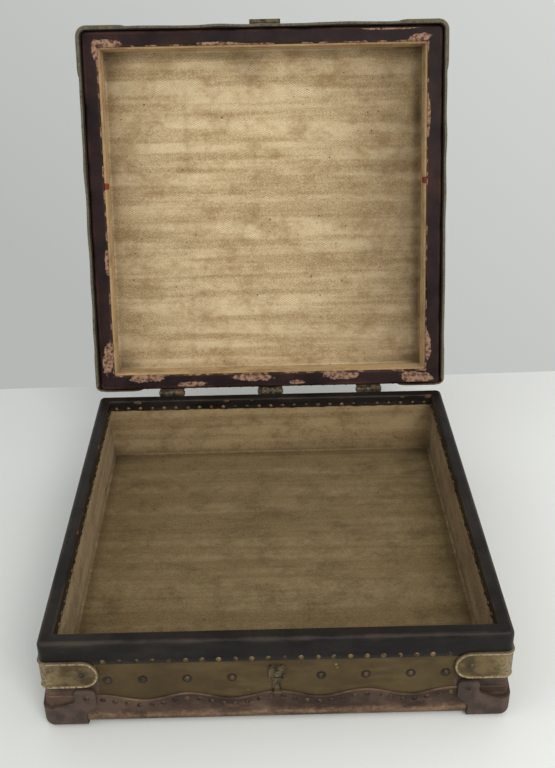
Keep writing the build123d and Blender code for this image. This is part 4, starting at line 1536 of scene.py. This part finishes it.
    def skins(self) -> None:
        """Leathers, linings and the valance."""
        found = self.finish
        patches = [
            (Side.BACK, 165 * MM, 0.8, 50 * MM, 0.7), (Side.BACK, 100 * MM, 0.2, 36 * MM, 0.5),
            (Side.BACK, 25 * MM, 0.7, 52 * MM, 0.7), (Side.BACK, -35 * MM, 0.2, 26 * MM, 0.4),
            (Side.BACK, -95 * MM, 0.7, 50 * MM, 0.7), (Side.BACK, -190 * MM, 0.4, 50 * MM, 1.0),
            (Side.LEFT, -185 * MM, 0.6, 44 * MM, 1.0), (Side.LEFT, 205 * MM, 0.9, 26 * MM, 0.7),
            (Side.LEFT, -60 * MM, 1.0, 34 * MM, 0.5), (Side.FRONT, -196 * MM, 0.8, 42 * MM, 0.7),
            (Side.FRONT, 150 * MM, 0.02, 80 * MM, 0.22), (Side.FRONT, 196 * MM, 0.8, 30 * MM, 0.8),
            (Side.FRONT, -60 * MM, 0.95, 60 * MM, 0.35), (Side.RIGHT, 178 * MM, 0.9, 40 * MM, 0.7),
            (Side.RIGHT, -120 * MM, 1.0, 50 * MM, 0.4),
        ]
        RimLeather(self.base, "base_rim_leather", found["black_leather"], "black_leather", torn=0.9 * MM,
                   drop=14.2 * MM).build()
        RimLeather(self.lid, "lid_rim_leather", found["purple_leather"], "purple_leather", torn=2.4 * MM,
                   drop=3.4 * MM, bare_spots=patches).build()
        for tray in (self.base, self.lid):
            EdgeLeather(tray, found["edge_leather"]).build()
            CornerPatches(tray, found["corner_leather"]).build()
            CanvasSkin(tray, found["canvas"]).build()
        TapeEnds(self.lid, found["tape"]).build()
        Handle(self.handle_pivot, found["handle_leather"]).build()
        # painted shade: the base's right and front walls face away from the key light
        WallCloth(self.base, found["base_wall_twill"], thick=1.2 * MM,
                  shade={Side.RIGHT: 0.35, Side.FRONT: 0.1}).build()
        WallCloth(self.lid, found["lid_wall_twill"], thick=1.5 * MM).build()
        # the band along the front of the base's floor is painted shade under the front wall; the smaller patch is
        # a stain
        FloorCloth(self.base, found["base_floor_twill"], "base_floor_lining", pad=3.0 * MM, stains_and_shade=(
            (0, -215 * MM, 280 * MM, 100 * MM, 0.6), (-30 * MM, 60 * MM, 90 * MM, 60 * MM, 0.15))).build()
        # the wide bands along the lid's right, front and left edges are painted shade where the light falls off;
        # the small spot is a stain
        FloorCloth(self.lid, found["twill"], "lid_panel_lining", pad=1.0 * MM, sag=0.35 * MM,
                   creases=(-96 * MM, -10 * MM), rim_shade=0.3, stains_and_shade=(
                       (232 * MM, -20 * MM, 115 * MM, 400 * MM, 1.0), (0, -228 * MM, 300 * MM, 62 * MM, 0.45),
                       (-20 * MM, -180 * MM, 22 * MM, 16 * MM, 0.35),
                       (-220 * MM, -40 * MM, 75 * MM, 260 * MM, 0.5))).build()
        Valance(self.lid, found["valance_fibre"]).build()

    def clamps(self) -> None:
        """The brass strips on the corners of both trays."""
        band = self.base.band
        places = {Side.LEFT: "front_left", Side.FRONT: "front_right", Side.RIGHT: "back_right",
                  Side.BACK: "back_left"}
        for side, place in places.items():
            mesh = Clamp(self.base, side, (band, band)).mesh()
            Piece(f"base_brass_clamp_{place}", "base", "brass", self.finish["brass"],
                  (f"base_clamp_{place}",)).make(mesh, self.base.frame)
        over = 5.4 * MM  # the outer face of the valance
        seats = {Side.LEFT: (over, over), Side.FRONT: (over, over), Side.RIGHT: (over, band),
                 Side.BACK: (band, over)}
        meshes = [Clamp(self.lid, side, seat).mesh() for side, seat in seats.items()]
        Piece("lid_brass_clamps", "lid", "brass", self.finish["brass"], ("lid_clamps",)).make(
            joined(meshes), self.lid.frame)

    def build(self) -> None:
        """Builds and dresses the box."""
        self.finishes()
        self.dress()
        self.skins()
        self.clamps()


def main() -> None:
    """Builds the box on its frame."""
    logging.basicConfig(level=logging.INFO, format="%(name)s: %(message)s")
    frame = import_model()
    low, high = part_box("base_canvas_cover")
    Studio((low.y + high.y) / 2).build()
    HatBox(frame).build()


if __name__ == "__main__":
    main()
